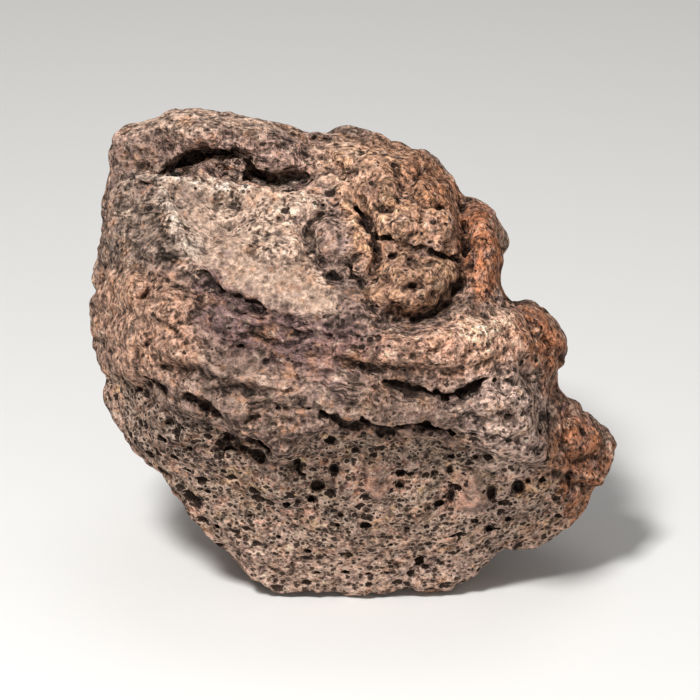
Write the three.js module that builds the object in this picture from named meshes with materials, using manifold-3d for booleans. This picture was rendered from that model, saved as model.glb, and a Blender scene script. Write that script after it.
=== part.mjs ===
// One block of lava rock (scoria): a single piece of gas-charged basalt that froze with
// flow layers folded over one another, then broke away on a rough lower face.
// Millimetres, +Z up, +X to the block's right, -Y is its folded front. The origin is under
// the middle of the block, on the surface that it rests on.
import * as THREE from "three";
import { mergeVertices } from "three/addons/utils/BufferGeometryUtils.js";
import { ImprovedNoise } from "three/addons/math/ImprovedNoise.js";
import Module from "manifold-3d";

const wasm = await Module();
wasm.setup();

// ---- driving dimensions, in mm and degrees ----
const LEAN = 22; // the front's drawing plane leans back by this much
const CORE_HEIGHT = 60.2; // height of the core point above the resting face
const FRONT_DEPTH = 57; // core point to the most forward flow layer, square to the drawing plane
const BACK_DEPTH = 54; // core point to the back, the same way
const FRONT_SQUARENESS = 3.3; // exponent of the front's rounding, 2 is an ellipse
const BACK_SQUARENESS = 2.55;
const DETAIL = 19; // icosahedron subdivision, 20 * (DETAIL + 1)^2 triangles
const LUMP = 3.6; // height of the large lumps
const KNUCKLE = 1.5; // height of the small lumps
const BASE_CUT = 0; // height at which the underside broke off flat
const FACET_WIDTH = 3.2; // the finest step that the facets can carry
const SOFT = 2.4; // how far the foot of a raised feature spreads beyond its outline

// The block's outline on the drawing plane, anticlockwise from its right, as [across, up] from the core point.
const OUTLINE = [
  [54.6, -3.6], [57.0, 0.2], [58.4, 2.6], [57.4, 4.6], [55.9, 8.7], [52.6, 12.9], [47.6, 14.8],
  [43.2, 13.9], [38.4, 14.6], [39.3, 18.1], [41.4, 26.4], [40.8, 31.5], [38.2, 37.8], [34.1, 40.4],
  [28.8, 42.0], [27.3, 46.2], [22.5, 52.4], [16.3, 57.1], [9.0, 59.7], [-3.5, 60.2], [-8.8, 59.7],
  [-15.0, 60.8], [-19.2, 62.9], [-24.9, 65.5], [-32.8, 65.8], [-45.3, 66.0], [-54.2, 63.4],
  [-63.6, 60.1], [-63.4, 54.0], [-63.2, 48.6], [-66.7, 46.1], [-66.5, 43.8], [-66.7, 36.8],
  [-68.3, 29.5], [-69.9, 21.0], [-70.6, 13.8], [-69.9, 5.4], [-68.3, -3.0], [-67.3, -12.3],
  [-65.1, -17.6], [-61.0, -22.8], [-55.7, -28.0], [-49.5, -33.3], [-45.3, -39.5], [-42.2, -45.8],
  [-38.0, -50.5], [-32.8, -54.7], [-28.6, -59.4], [-24.9, -63.0], [-20.3, -66.1], [-15.0, -66.9],
  [-8.8, -66.1], [1.7, -65.1], [12.1, -65.1], [20.5, -64.1], [26.7, -63.0], [33.0, -59.4],
  [38.2, -55.7], [44.5, -52.6], [52.8, -50.5], [56.0, -48.4], [62.2, -45.3], [63.8, -41.7],
  [64.4, -37.5], [66.4, -34.3], [69.6, -30.2], [70.2, -26.5], [68.6, -22.8], [64.4, -18.7],
  [61.2, -14.5], [57.0, -11.3], [53.9, -7.2],
];

// Large fracture planes of the back, sides and top: [across, up, forward] normal and distance from the core point.
const FACETS = [
  [[0.55, 0.25, -0.8], 52, 0.85],
  [[-0.62, 0.1, -0.78], 50, 0.85],
  [[0.1, 0.78, -0.62], 55, 0.8],
  [[-0.25, -0.3, -0.92], 54, 0.8],
  [[0.72, -0.42, -0.55], 60, 0.8],
  [[-0.5, 0.72, -0.45], 62, 0.75],
  [[0.86, 0.42, -0.1], 56, 0.6],
  [[-0.9, -0.2, -0.38], 62, 0.7],
];

// Scoops where neighbouring clasts pulled away: centre [across, up, forward], radius and depth.
const SCOOPS = [
  [[22, 22, -50], 22, 6],
  [[-34, 6, -46], 20, 5],
  [[8, -22, -52], 17, 4],
  [[-58, -6, -20], 17, 4],
  [[56, 14, -14], 16, 4],
  [[52, -34, -22], 17, 4.5],
  [[-6, 58, -22], 16, 4],
];

// ---- flat helpers for strokes laid out on the drawing plane ----
const clamp = (x, lo, hi) => Math.min(hi, Math.max(lo, x));
const step = (lo, hi, x) => {
  const t = clamp((x - lo) / (hi - lo), 0, 1);
  return t * t * (3 - 2 * t);
};
const softMin = (values, k) => -k * Math.log(values.reduce((sum, v) => sum + Math.exp(-v / k), 0));

// Distance to a line of points, and which side: positive is the left of its direction.
function toLine(line, a, b) {
  let best = Infinity, side = 1, along = 0;
  for (let i = 0; i + 1 < line.length; i++) {
    const [x0, y0] = line[i], [x1, y1] = line[i + 1];
    const dx = x1 - x0, dy = y1 - y0;
    const t = clamp(((a - x0) * dx + (b - y0) * dy) / (dx * dx + dy * dy), 0, 1);
    const ex = a - x0 - t * dx, ey = b - y0 - t * dy;
    const d = Math.hypot(ex, ey);
    if (d < best) {
      best = d;
      side = dx * (b - y0) - dy * (a - x0) >= 0 ? 1 : -1;
      along = (i + t) / (line.length - 1);
    }
  }
  return { d: best, side, along };
}

// Signed distance to a closed outline, negative inside.
function toShape(shape, a, b) {
  let inside = false;
  for (let i = 0, j = shape.length - 1; i < shape.length; j = i++) {
    const [xi, yi] = shape[i], [xj, yj] = shape[j];
    if (yi > b !== yj > b && a < ((xj - xi) * (b - yi)) / (yj - yi) + xi) inside = !inside;
  }
  const d = toLine([...shape, shape[0]], a, b).d;
  return inside ? -d : d;
}

const dome = (shape, a, b, height, reach, foot = SOFT) => height * step(-foot, reach, -toShape(shape, a, b)) ** 0.8;
const groove = (line, a, b, depth, width) => {
  const { d, along } = toLine(line, a, b);
  return -depth * Math.exp(-((d / width) ** 2)) * step(0, 0.12, along + 0.04) * step(0, 0.12, 1.04 - along);
};
const ridge = (line, a, b, height, width) => -groove(line, a, b, height, width);

// ---- the features of the folded front ----
const KNOB = [[-8, 56], [8, 59], [20, 54], [27, 45], [29.5, 34], [29.5, 20], [24, 12], [14, 8.5], [4, 12], [1.5, 25], [-2, 37], [-6, 46]];
const RED_LOBE = [[30.5, 40], [37, 39], [41.3, 31], [41.3, 23], [38, 15.5], [32, 14.5], [29.6, 22], [29.2, 34]];
const SLAB = [[-63.6, 60], [-54, 63.5], [-45, 66], [-25, 65.5], [-15, 60.5], [-9, 56], [-12, 49], [-22, 47], [-36, 51.5], [-44, 53], [-50, 57]];
const LEFT_BULGE = [[-68, 22], [-56, 24], [-44, 18], [-38, 8], [-42, -4], [-54, -8], [-66, -4]];
const RIGHT_MASS = [[30, -6], [42, -4], [50.5, -6], [50.5, -26], [44, -33], [34, -31], [29, -20]];
const SHELF = [[-6, 3], [9, 5], [27, 7], [42, 10.5], [53, 11], [57, 5], [54, -2], [40, -5], [22, -6], [8, -4], [-6, -1]];
const KNOB_GROOVE = [[28.6, 42], [29.8, 33], [29.8, 23], [27.5, 15.8], [22, 10.3], [15, 7.9], [6.5, 8.6]];
const KNOB_CLEFT = [[1.5, 42], [4.5, 35.5], [6, 28], [6.6, 20.5]];
const PANEL_EDGE = [[-42, 26], [-34, 20], [-26, 16], [-15, 11], [-8, 8], [-2, 5]];
const FOLD = [[-50, 46], [-45.5, 34], [-39.5, 23.5]];
const OVERHANG = [[-68, -5], [-54, -8], [-48, -13.5], [-33.5, -19], [-26, -25], [-18, -27.5], [-7, -19], [9, -20], [27, -22], [42, -26], [52, -30]];
const RIGHT_STEP = [[51, -4], [51.5, -16], [52.5, -30]];
const LAYER_1 = [[-50, 4], [-34, -2], [-16, -7], [6, -12], [24, -15], [40, -12]];
const LAYER_2 = [[-34, 13], [-20, 5], [-4, -2], [14, -5], [30, -4]];

function frontDepth(a, b) {
  const wall = FRONT_DEPTH - 0.0026 * (a + 4) ** 2;
  const top = 25.5 + (47 - b) * 0.78 + 0.05 * a;
  const foot = 49 + (b + 25) * 0.98 - 0.07 * Math.abs(a);
  const left = 40 + (a + 58) * 1.5;
  const right = 37 - (a - 54) * 1.3;
  return softMin([wall, top, foot, left, right], 3.2);
}

function frontRelief(a, b) {
  let h = 0;
  h += dome(KNOB, a, b, 9, 11);
  h += dome(RED_LOBE, a, b, 3.5, 5);
  h += dome(SLAB, a, b, 6, 6);
  h += dome(LEFT_BULGE, a, b, 3.5, 12);
  h += dome(RIGHT_MASS, a, b, 4, 9);
  h += dome(SHELF, a, b, 5, 5.5, 4);
  h += groove(KNOB_GROOVE, a, b, 4.2, 4.4);
  h += groove(KNOB_CLEFT, a, b, 2.6, 4);
  h += groove(PANEL_EDGE, a, b, 1.5, 5);
  h += ridge(FOLD, a, b, 1.8, 4.5);
  h += groove(LAYER_2, a, b, 1.8, 4.5);
  h += ridge(LAYER_1, a, b, 1.6, 4);
  // The flow layers overhang the broken lower face.
  const lip = toLine(OVERHANG, a, b);
  const below = lip.side < 0 ? lip.d : -lip.d;
  h -= 5.2 * step(-2.5, 5, below) * (1 - step(8, 30, below));
  h += 1.6 * Math.exp(-(((below + 3) / 3.5) ** 2));
  // The reddened right flank is set back behind a short step.
  const flank = toLine(RIGHT_STEP, a, b);
  const beyond = flank.side > 0 ? flank.d : -flank.d;
  h -= 4.2 * step(-2, 4.5, beyond) * step(-38, -30, b) * (1 - step(-6, 2, b));
  return h;
}

// The relief averaged over a facet's width, so that no step is finer than the facets that carry it.
function facetRelief(a, b) {
  let sum = 1.5 * frontRelief(a, b);
  for (let k = 0; k < 6; k++) {
    const t = (k * Math.PI) / 3;
    sum += frontRelief(a + FACET_WIDTH * Math.cos(t), b + FACET_WIDTH * Math.sin(t));
  }
  return sum / 7.5;
}

function backDepth(a, b) {
  return BACK_DEPTH + 7 * step(-8, -48, b) - 0.0035 * (a - 6) ** 2 - 0.002 * (b - 4) ** 2;
}

// ---- the outline as a radius round the core point ----
const ANGLES = OUTLINE.map(([a, b]) => [Math.atan2(b, a), Math.hypot(a, b)]).sort((p, q) => p[0] - q[0]);
function outlineRadius(angle) {
  let i = ANGLES.findIndex(([t]) => t > angle);
  if (i < 0) i = ANGLES.length;
  const [t1, r1] = i < ANGLES.length ? ANGLES[i] : [ANGLES[0][0] + 2 * Math.PI, ANGLES[0][1]];
  const [t0, r0] = i > 0 ? ANGLES[i - 1] : [ANGLES[ANGLES.length - 1][0] - 2 * Math.PI, ANGLES[ANGLES.length - 1][1]];
  return r0 + ((angle - t0) / (t1 - t0)) * (r1 - r0);
}
function smoothRadius(angle, spread) {
  let sum = 0, weight = 0;
  for (let k = -6; k <= 6; k++) {
    const w = Math.exp(-((k / 3) ** 2));
    let t = angle + (k / 6) * spread;
    if (t > Math.PI) t -= 2 * Math.PI;
    if (t < -Math.PI) t += 2 * Math.PI;
    sum += w * outlineRadius(t);
    weight += w;
  }
  return sum / weight;
}

// ---- shaping ----
const noise = new ImprovedNoise();
const lumps = (p, size, seed) => noise.noise(p.x / size + seed, p.y / size - seed, p.z / size + 2 * seed);

function shape(n) {
  // n is a direction: x across, y up, z forward.
  const spread = Math.hypot(n.x, n.y);
  const angle = Math.atan2(n.y, n.x);
  const front = n.z >= 0;
  const power = front ? FRONT_SQUARENESS : BACK_SQUARENESS;
  const t = (spread ** power + Math.abs(n.z) ** power) ** (-1 / power);
  const sharp = 1 - step(0.15, 0.75, Math.abs(n.z));
  const radius = THREE.MathUtils.lerp(smoothRadius(angle, 0.42) * (front ? 1 : 0.985), smoothRadius(angle, 0.05), sharp);
  const r = radius * spread * t;
  const p = new THREE.Vector3(r * Math.cos(angle), r * Math.sin(angle), 0);
  const share = Math.abs(n.z) * t;
  if (front) p.z = frontDepth(p.x, p.y) * share + facetRelief(p.x, p.y) * step(0.1, 0.6, share);
  else p.z = -backDepth(p.x, p.y) * share;
  // Fracture planes
  const behind = 1 - step(-0.05, 0.35, n.z);
  for (const [normal, distance, hardness] of FACETS) {
    const unit = new THREE.Vector3(...normal).normalize();
    const over = p.dot(unit) - distance;
    if (over > 0) p.addScaledVector(unit, -over * hardness * behind);
  }
  for (const [centre, size, depth] of SCOOPS) {
    const c = new THREE.Vector3(...centre);
    const d = p.distanceTo(c) / size;
    if (d < 1) p.addScaledVector(p.clone().normalize(), -depth * (1 - d * d) ** 2);
  }
  // Lumps, held down where the front is drawn in detail
  const out = p.clone().normalize();
  const q = p.clone();
  const drawn = front ? 0.35 + 0.65 * (1 - step(0.15, 0.7, share)) : 1;
  const rim = 1 - 0.75 * Math.exp(-((n.z / 0.22) ** 2)); // the outline is already drawn
  p.addScaledVector(out, LUMP * lumps(q, 27, 3.1) * drawn * rim);
  p.addScaledVector(out, 1.5 * KNUCKLE * (0.5 - Math.abs(lumps(q, 15, 7.7))) * drawn * rim);
  p.addScaledVector(out, KNUCKLE * lumps(q, 8.5, 5.3) * (0.4 + 0.6 * drawn) * rim);
  return p;
}

const lean = THREE.MathUtils.degToRad(LEAN);
function toBlock(p) {
  // from the drawing plane's frame to the block's
  return new THREE.Vector3(
    p.x,
    p.y * Math.sin(lean) - p.z * Math.cos(lean),
    CORE_HEIGHT + p.y * Math.cos(lean) + p.z * Math.sin(lean),
  );
}

function shaped(geometry, move) {
  const g = geometry.clone();
  g.deleteAttribute("normal");
  g.deleteAttribute("uv");
  const merged = mergeVertices(g, 1e-4);
  const position = merged.getAttribute("position");
  const p = new THREE.Vector3();
  for (let i = 0; i < position.count; i++) {
    p.fromBufferAttribute(position, i);
    const q = move(p);
    position.setXYZ(i, q.x, q.y, q.z);
  }
  return merged;
}

function solid(geometry) {
  const g = mergeVertices(geometry, 1e-4);
  return new wasm.Manifold(new wasm.Mesh({
    numProp: 3,
    vertProperties: new Float32Array(g.getAttribute("position").array),
    triVerts: new Uint32Array(g.index.array),
  }));
}

let block = solid(shaped(new THREE.IcosahedronGeometry(1, DETAIL), (n) => toBlock(shape(n.clone().normalize()))));

// The hollow under the folded-over slab: one crescent pocket, cut back into the block along the
// drawing plane's normal. [across, up] of its middle line, and its half sizes.
const POCKET_LINE = [[-52, 47.8], [-46.7, 49.7], [-41.8, 51.6], [-35.8, 51.0], [-29.7, 48.9], [-24.8, 46.6], [-18.2, 46.0], [-9, 46.8]];
const POCKET_UP = 3.1, POCKET_DEPTH = 12, POCKET_MOUTH = 20;
function pocketMiddle(t) {
  const at = clamp(t, 0, 1) * (POCKET_LINE.length - 1);
  const i = Math.min(POCKET_LINE.length - 2, Math.floor(at));
  return POCKET_LINE[i].map((v, k) => v + (POCKET_LINE[i + 1][k] - v) * (at - i));
}
const pocket = shaped(new THREE.IcosahedronGeometry(1, 7), (n) => {
  const [a, b] = pocketMiddle(0.5 + 0.5 * Math.sign(n.x) * Math.abs(n.x) ** 1.3);
  const thick = Math.hypot(n.y, n.z);
  const up = thick > 0 ? n.y / thick : 0, out = thick > 0 ? n.z / thick : 0;
  const girth = Math.sqrt(thick);
  return toBlock(new THREE.Vector3(a, b + POCKET_UP * girth * up, POCKET_MOUTH + 0.12 * (a + 30) + POCKET_DEPTH * girth * out));
});
block = block.subtract(solid(pocket));

// The underside: one rough fracture, flat enough to stand on.
const under = new THREE.BoxGeometry(400, 400, 100).translate(0, 0, BASE_CUT - 50);
under.deleteAttribute("normal");
under.deleteAttribute("uv");
block = block.subtract(solid(under));

const made = block.getMesh();
const geometry = new THREE.BufferGeometry();
const positions = new Float32Array(made.numVert * 3);
for (let i = 0; i < made.numVert; i++)
  for (let k = 0; k < 3; k++) positions[3 * i + k] = made.vertProperties[made.numProp * i + k];
geometry.setAttribute("position", new THREE.BufferAttribute(positions, 3));
geometry.setIndex(new THREE.BufferAttribute(new Uint32Array(made.triVerts), 1));
// The origin goes under the middle of the block.
geometry.computeBoundingBox();
const middle = geometry.boundingBox.getCenter(new THREE.Vector3());
geometry.translate(-middle.x, -middle.y, -geometry.boundingBox.min.z);
geometry.computeVertexNormals();

const stone = new THREE.Mesh(
  geometry,
  new THREE.MeshStandardMaterial({ color: 0x7a6150, roughness: 0.93, metalness: 0 }),
);
stone.name = "lava_rock";

const rock = new THREE.Group();
rock.add(stone);
export default rock;
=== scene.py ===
# Looks for one block of lava rock (scoria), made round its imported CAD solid.
# The solid is turned into a volume of signed distances. The flow layers, cracks, hollows and gas
# holes are carved into that volume, and it is meshed again as one closed surface. One procedural
# stone material covers it. Lengths inside the sculpting are in mm, and objects are in metres.
import math

import bpy
import numpy as np
import openvdb as vdb
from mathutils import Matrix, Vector


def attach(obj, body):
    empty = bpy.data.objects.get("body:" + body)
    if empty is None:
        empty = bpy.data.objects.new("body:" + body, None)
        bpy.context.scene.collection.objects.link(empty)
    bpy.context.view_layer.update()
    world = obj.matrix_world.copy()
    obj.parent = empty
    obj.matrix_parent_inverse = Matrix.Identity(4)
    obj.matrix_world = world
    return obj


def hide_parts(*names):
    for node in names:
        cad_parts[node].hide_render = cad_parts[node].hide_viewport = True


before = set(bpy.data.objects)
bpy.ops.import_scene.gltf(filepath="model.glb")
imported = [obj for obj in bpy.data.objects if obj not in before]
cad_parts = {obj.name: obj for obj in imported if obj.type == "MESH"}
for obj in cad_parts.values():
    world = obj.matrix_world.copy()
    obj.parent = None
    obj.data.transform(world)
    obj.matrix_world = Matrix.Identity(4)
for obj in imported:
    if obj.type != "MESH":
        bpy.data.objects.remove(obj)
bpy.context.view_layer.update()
scene = bpy.context.scene

# ---- the block's own frame: the front's drawing plane leans back ----
LEAN = math.radians(22)
CORE = np.array([-0.508, -0.664, 60.2])  # added to a point of the row frame to give it in the block's frame, then z from the core
VOXEL = 0.5
BAND_IN, BAND_OUT = 7.0, 5.6
TRIANGLES = 196000


def to_plane(p):
    """Row-frame points in mm to [across, up, forward] of the drawing plane."""
    x = p[:, 0] + CORE[0]
    y = p[:, 1] + CORE[1]
    z = p[:, 2] - CORE[2]
    return x, y * math.sin(LEAN) + z * math.cos(LEAN), -y * math.cos(LEAN) + z * math.sin(LEAN)


def step(lo, hi, x):
    t = np.clip((x - lo) / (hi - lo), 0, 1)
    return t * t * (3 - 2 * t)


def lerp(a, b, t):
    return a + (b - a) * t


# ---- strokes on the drawing plane ----
def to_line(line, a, b):
    """Distance to a line of points, which side (positive is the left of its direction), and how far along, 0 to 1."""
    best = np.full(a.shape, 1e9, np.float32)
    side = np.ones(a.shape, np.float32)
    along = np.zeros(a.shape, np.float32)
    n = len(line) - 1
    for i in range(n):
        (x0, y0), (x1, y1) = line[i], line[i + 1]
        dx, dy = x1 - x0, y1 - y0
        t = np.clip(((a - x0) * dx + (b - y0) * dy) / (dx * dx + dy * dy), 0, 1)
        d = np.hypot(a - x0 - t * dx, b - y0 - t * dy)
        near = d < best
        best = np.where(near, d, best)
        side = np.where(near, np.where(dx * (b - y0) - dy * (a - x0) >= 0, 1.0, -1.0), side)
        along = np.where(near, (i + t) / n, along)
    return best, side, along


def to_shape(shape, a, b):
    """Signed distance to a closed outline, negative inside."""
    inside = np.zeros(a.shape, bool)
    for i in range(len(shape)):
        (xi, yi), (xj, yj) = shape[i], shape[i - 1]
        if yi == yj:
            continue
        cross = ((yi > b) != (yj > b)) & (a < (xj - xi) * (b - yi) / (yj - yi) + xi)
        inside ^= cross
    d = to_line(shape + [shape[0]], a, b)[0]
    return np.where(inside, -d, d)


def dome(shape, a, b, height, reach, foot=2.4):
    return height * step(-foot, reach, -to_shape(shape, a, b)) ** 0.8


def groove(line, a, b, depth, width):
    d, _, along = to_line(line, a, b)
    return -depth * np.exp(-((d / width) ** 2)) * step(0, 0.12, along + 0.04) * step(0, 0.12, 1.04 - along)


def plateau(shape, a, b, height, edge=1.2):
    return height * step(-edge, edge, -to_shape(shape, a, b))


KNOB = [(-8, 56), (8, 59), (20, 54), (27, 45), (29.5, 34), (29.5, 20), (24, 12), (14, 8.5), (4, 12), (1.5, 25), (-2, 37), (-6, 46)]
RED_LOBE = [(30.5, 40), (37, 39), (41.3, 31), (41.3, 23), (38, 15.5), (32, 14.5), (29.6, 22), (29.2, 34)]
SLAB = [(-63.6, 60), (-54, 63.5), (-45, 66), (-25, 65.5), (-15, 60.5), (-9, 56), (-12, 49), (-22, 47), (-36, 51.5), (-44, 53), (-50, 57)]
LEFT_BULGE = [(-68, 22), (-56, 24), (-44, 18), (-38, 8), (-42, -4), (-54, -8), (-66, -4)]
RIGHT_MASS = [(30, -6), (42, -4), (50.5, -6), (50.5, -26), (44, -33), (34, -31), (29, -20)]
SHELF = [(-6, 3), (9, 5), (27, 7), (42, 10.5), (53, 11), (57, 5), (54, -2), (40, -5), (22, -6), (8, -4), (-6, -1)]
KNOB_GROOVE = [(28.6, 42), (29.8, 33), (29.8, 23), (27.5, 15.8), (22, 10.3), (15, 7.9), (6.5, 8.6)]
KNOB_CLEFT = [(1.5, 42), (4.5, 35.5), (6, 28), (6.6, 20.5)]
KNOB_LOW = [(6.6, 30), (12, 28.4), (18, 26.6), (27.5, 25), (29, 18), (24, 11), (14, 8.5), (4, 11), (3, 20), (6, 25)]
PANEL_EDGE = [(-42, 26), (-34, 20), (-26, 16), (-15, 11), (-8, 8), (-2, 5)]
FOLD = [(-50, 46), (-45.5, 34), (-39.5, 23.5)]
OVERHANG = [(-68, -5), (-54, -8), (-48, -13.5), (-33.5, -19), (-26, -25), (-18, -27.5), (-7, -19), (9, -20), (27, -22), (42, -26), (52, -30)]
RIGHT_STEP = [(51, -4), (51.5, -16), (52.5, -30)]
LAYER_1 = [(-50, 4), (-34, -2), (-16, -7), (6, -12), (24, -15), (40, -12)]
LAYER_2 = [(-34, 13), (-20, 5), (-4, -2), (14, -5), (30, -4)]
LEDGE = [(-62, 45.5), (-54.5, 47.4), (-45.5, 46.6), (-36.4, 43.8), (-31.5, 45.0), (-21.2, 45.0), (-10.3, 46.8)]
PANEL = [(-50.3, 47.3), (-42, 46.5), (-26, 44.2), (-12, 46), (-7.9, 40), (-12.7, 32.7), (-9, 24.8), (-3, 15.8), (0, 9.7), (-9, 9.7), (-21, 13.3), (-30.3, 17.6), (-39.4, 23), (-43, 27.9), (-45.5, 37), (-49, 43)]
SMOOTH_PANEL = [(-48, 45.5), (-41.5, 46), (-37.5, 38), (-31, 31.5), (-24, 26.5), (-12, 23.0), (-3, 12.7), (-9, 10.2), (-22.4, 13.9), (-33.3, 18.8), (-41.5, 25.5), (-45.5, 35)]
LEFT_FACET = [(-64.8, 44.8), (-51.5, 44.8), (-46.7, 37), (-44.2, 27.9), (-48.5, 21.8), (-63.6, 21.8), (-68.5, 24.8)]
PURPLE = [(-40.6, 23), (-24.2, 14.5), (-12.1, 10.3), (0, 8.5), (7.9, 2.4), (-3, -7.3), (-21.2, -2.4), (-36.4, 3.6), (-41.8, 12.7)]
END_KNOB = [(44.2, 15.8), (57.6, 15.8), (62.4, -2.4), (54.5, -9.7), (48.5, -2.4), (44.2, 6.7)]
RED_FLANK = [(52.7, -8.5), (72.7, -26.7), (69.7, -38.8), (60.6, -47.9), (54.5, -38.8), (53.3, -23.6)]
PATCH_1 = [(3.5, -29), (8.5, -28.5), (11, -33), (9.5, -38), (5.5, -38.5), (3, -34)]
PATCH_2 = [(29.5, -30), (34.5, -31), (36.5, -38), (34, -43), (30, -41), (28.5, -35)]
POCKET_LINE = [(-48.0, 49.4), (-46.0, 51.4), (-42.0, 53.2), (-37.0, 53.9), (-32.0, 53.1), (-28.4, 51.1), (-25.4, 48.6), (-22.6, 46.9)]
SMOOTH_LAYERS = [(-46, 2), (-30, 1), (-10, -3.5), (8, -8), (24, -12.5), (28, -19), (10, -18), (-8, -14.5), (-20, -15.5), (-31, -13), (-44, -8)]

# Three flow layers of the front, as the height of each across the drawing plane
LAYER_LINES = [
    [(-80, 33), (-68, 30), (-52, 27), (-42, 24), (-35, 17.5), (-25, 13), (-18, 10.3), (-10, 9), (4, 6.5), (17, 9), (24, 10.5), (38, 14), (46, 14), (60, 15), (80, 16)],
    [(-80, 18), (-68, 16), (-50, 12), (-33, 2.8), (-25, 1.6), (-17, -0.5), (-11, -2.7), (0, -5.5), (8, -7.8), (16.5, -10.8), (24, -11.6), (29, -10.4), (34.4, -6.9), (42, -4), (52, -2), (80, 2)],
    [(-80, -2), (-68, -4), (-57, -5.2), (-51, -7.8), (-48, -11.2), (-38, -11.6), (-33.6, -17.1), (-20, -17), (-7, -15.5), (0, -18), (8, -20.1), (16.5, -19.3), (26.8, -21), (40, -22), (52, -24), (80, -30)],
]

# Lumps that stand on the folded front: across, up, half width, half height, how far out.
LUMPS = [
    (-4.8, 53.0, 7.5, 6.0, 1.8), (7.0, 50.0, 5.5, 5.0, 2.4), (15.0, 50.5, 4.5, 4.5, 2.2), (20.0, 43.0, 4.6, 4.6, 2.6), (26.0, 42.0, 3.6, 6.0, 2.2), (22.5, 34.0, 6.0, 5.0, 2.6), (14.5, 35.5, 4.6, 5.2, 2.2),
    (9.5, 42.5, 3.4, 5.5, 2.6), (-3.0, 30.5, 7.0, 6.4, 2.4), (12.5, 21.5, 6.5, 5.2, 1.5), (22.5, 20.5, 5.5, 5.8, 1.6), (8.0, 15.0, 5.5, 4.2, 1.4),
    (17.0, 13.4, 5.5, 3.8, 1.3), (-4.0, 41.0, 5.0, 4.6, 1.4), (35.3, 30.0, 5.4, 10.5, 1.4), (49.6, 10.2, 5.0, 5.4, 2.6),
    (55.2, 4.8, 4.4, 5.4, 2.4), (45.5, 3.5, 4.2, 4.4, 1.4), (52.5, -4.0, 4.6, 3.6, 2.0), (-47.3, 12.4, 6.5, 5.0, 2.4), (-59.0, 4.8, 6.5, 5.2, 2.2),
    (-51.5, 27.5, 4.2, 3.2, 1.4), (-58.0, 17.5, 5.4, 4.4, 1.5), (-18.3, 27.6, 6.5, 3.4, 1.6), (-27.5, 34.5, 5.5, 4.0, 1.1), (-12.5, 38.5, 5.0, 3.6, 1.5),
    (-37.0, 38.0, 6.5, 5.0, 0.9), (-9.0, 21.5, 4.0, 4.5, 1.0), (33.0, 6.8, 6.5, 3.2, 1.6), (42.0, 9.0, 4.5, 3.2, 1.4), (23.0, 4.2, 6.5, 2.6, 1.3),
    (12.0, 2.0, 6.5, 2.4, 1.2), (35.5, -13.0, 5.5, 5.0, 1.6), (44.5, -13.5, 4.5, 7.0, 1.8), (39.5, -23.5, 6.0, 4.0, 1.3), (-24.5, 57.5, 8.0, 4.0, 1.3),
    (-41.0, 58.5, 8.0, 4.2, 1.3), (-55.5, 57.0, 6.0, 4.0, 1.2), (-60.5, -2.5, 6.0, 3.4, 1.6), (-50.0, 0.0, 6.0, 3.6, 1.4), (-36.5, -6.5, 7.5, 3.6, 1.4),
    (-28.0, -13.0, 7.0, 3.0, 1.3), (62.0, -22.0, 6.0, 6.0, 1.5), (64.0, -33.0, 6.0, 5.0, 1.5), (57.5, -40.0, 5.0, 5.0, 1.3), (-14.0, -11.0, 9.0, 2.8, 1.1),
]

# Edges where a layer ends above the next: line (left to right), how far out the upper one stands, and how far the
# step reaches up and down.
LEDGES = [
    ([(-42, 24.2), (-35.4, 17.2), (-25, 13.4), (-18.3, 9.8), (-9.8, 9.0)], 3.4, 3.0, 7.0),
    ([(-33, 2.8), (-25, 1.6), (-17.5, -0.6), (-11.5, -2.7), (0, -5.6)], 1.9, 2.2, 4.5),
    ([(-51.5, -1.4), (-38.7, -4.4), (-30.2, -7.4), (-21.7, -9.1)], 1.9, 2.4, 4.5),
    ([(-57.4, -5.2), (-51.5, -7.8), (-48, -11.2), (-43, -11.2), (-37.9, -11.6), (-33.6, -17.1), (-29, -18.2)], 3.0, 3.0, 6.0),
    ([(-40, 12), (-30, 7.8), (-20, 4.2), (-8, 2.2), (4, 1.0), (14, -2.2)], 1.8, 2.5, 4.0),
    ([(-24, 9.6), (-12, 5.6), (0, 3.8), (10, 3.4)], 1.3, 2.0, 3.0),
    ([(10, -1.5), (20, -3.6), (30, -3.0), (40, 0.6)], 1.6, 2.0, 3.5),
    ([(7.2, 30.7), (11.5, 29.0), (16.5, 27.6), (22, 26.0), (28, 25.6)], 2.2, 1.6, 6.5),
    ([(-63, 46.0), (-54.5, 47.8), (-45.5, 47.2), (-38, 44.2), (-31.5, 45.2), (-21.2, 45.4), (-10.3, 46.8)], -1.4, 2.5, 2.2),
    ([(-6, -21.5), (6, -24.0), (18, -24.6), (30, -25.5)], 1.0, 2.0, 3.0),
    ([(-35.4, -23.6), (-28.5, -24.0), (-20.8, -26.5)], 1.8, 2.0, 7.0),
    ([(31, -3.0), (38, -9.0), (41, -17.0)], 1.0, 2.0, 3.0),
    ([(-12, 33.5), (-17, 31.2), (-24, 31.5), (-29, 29.5)], 1.0, 2.0, 2.4),
    ([(-66, 13), (-58, 11.5), (-53, 7.5)], 1.3, 2.0, 3.5),
    ([(-54, 22), (-47, 19.5), (-42, 14)], 1.2, 2.0, 3.0),
]

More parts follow.
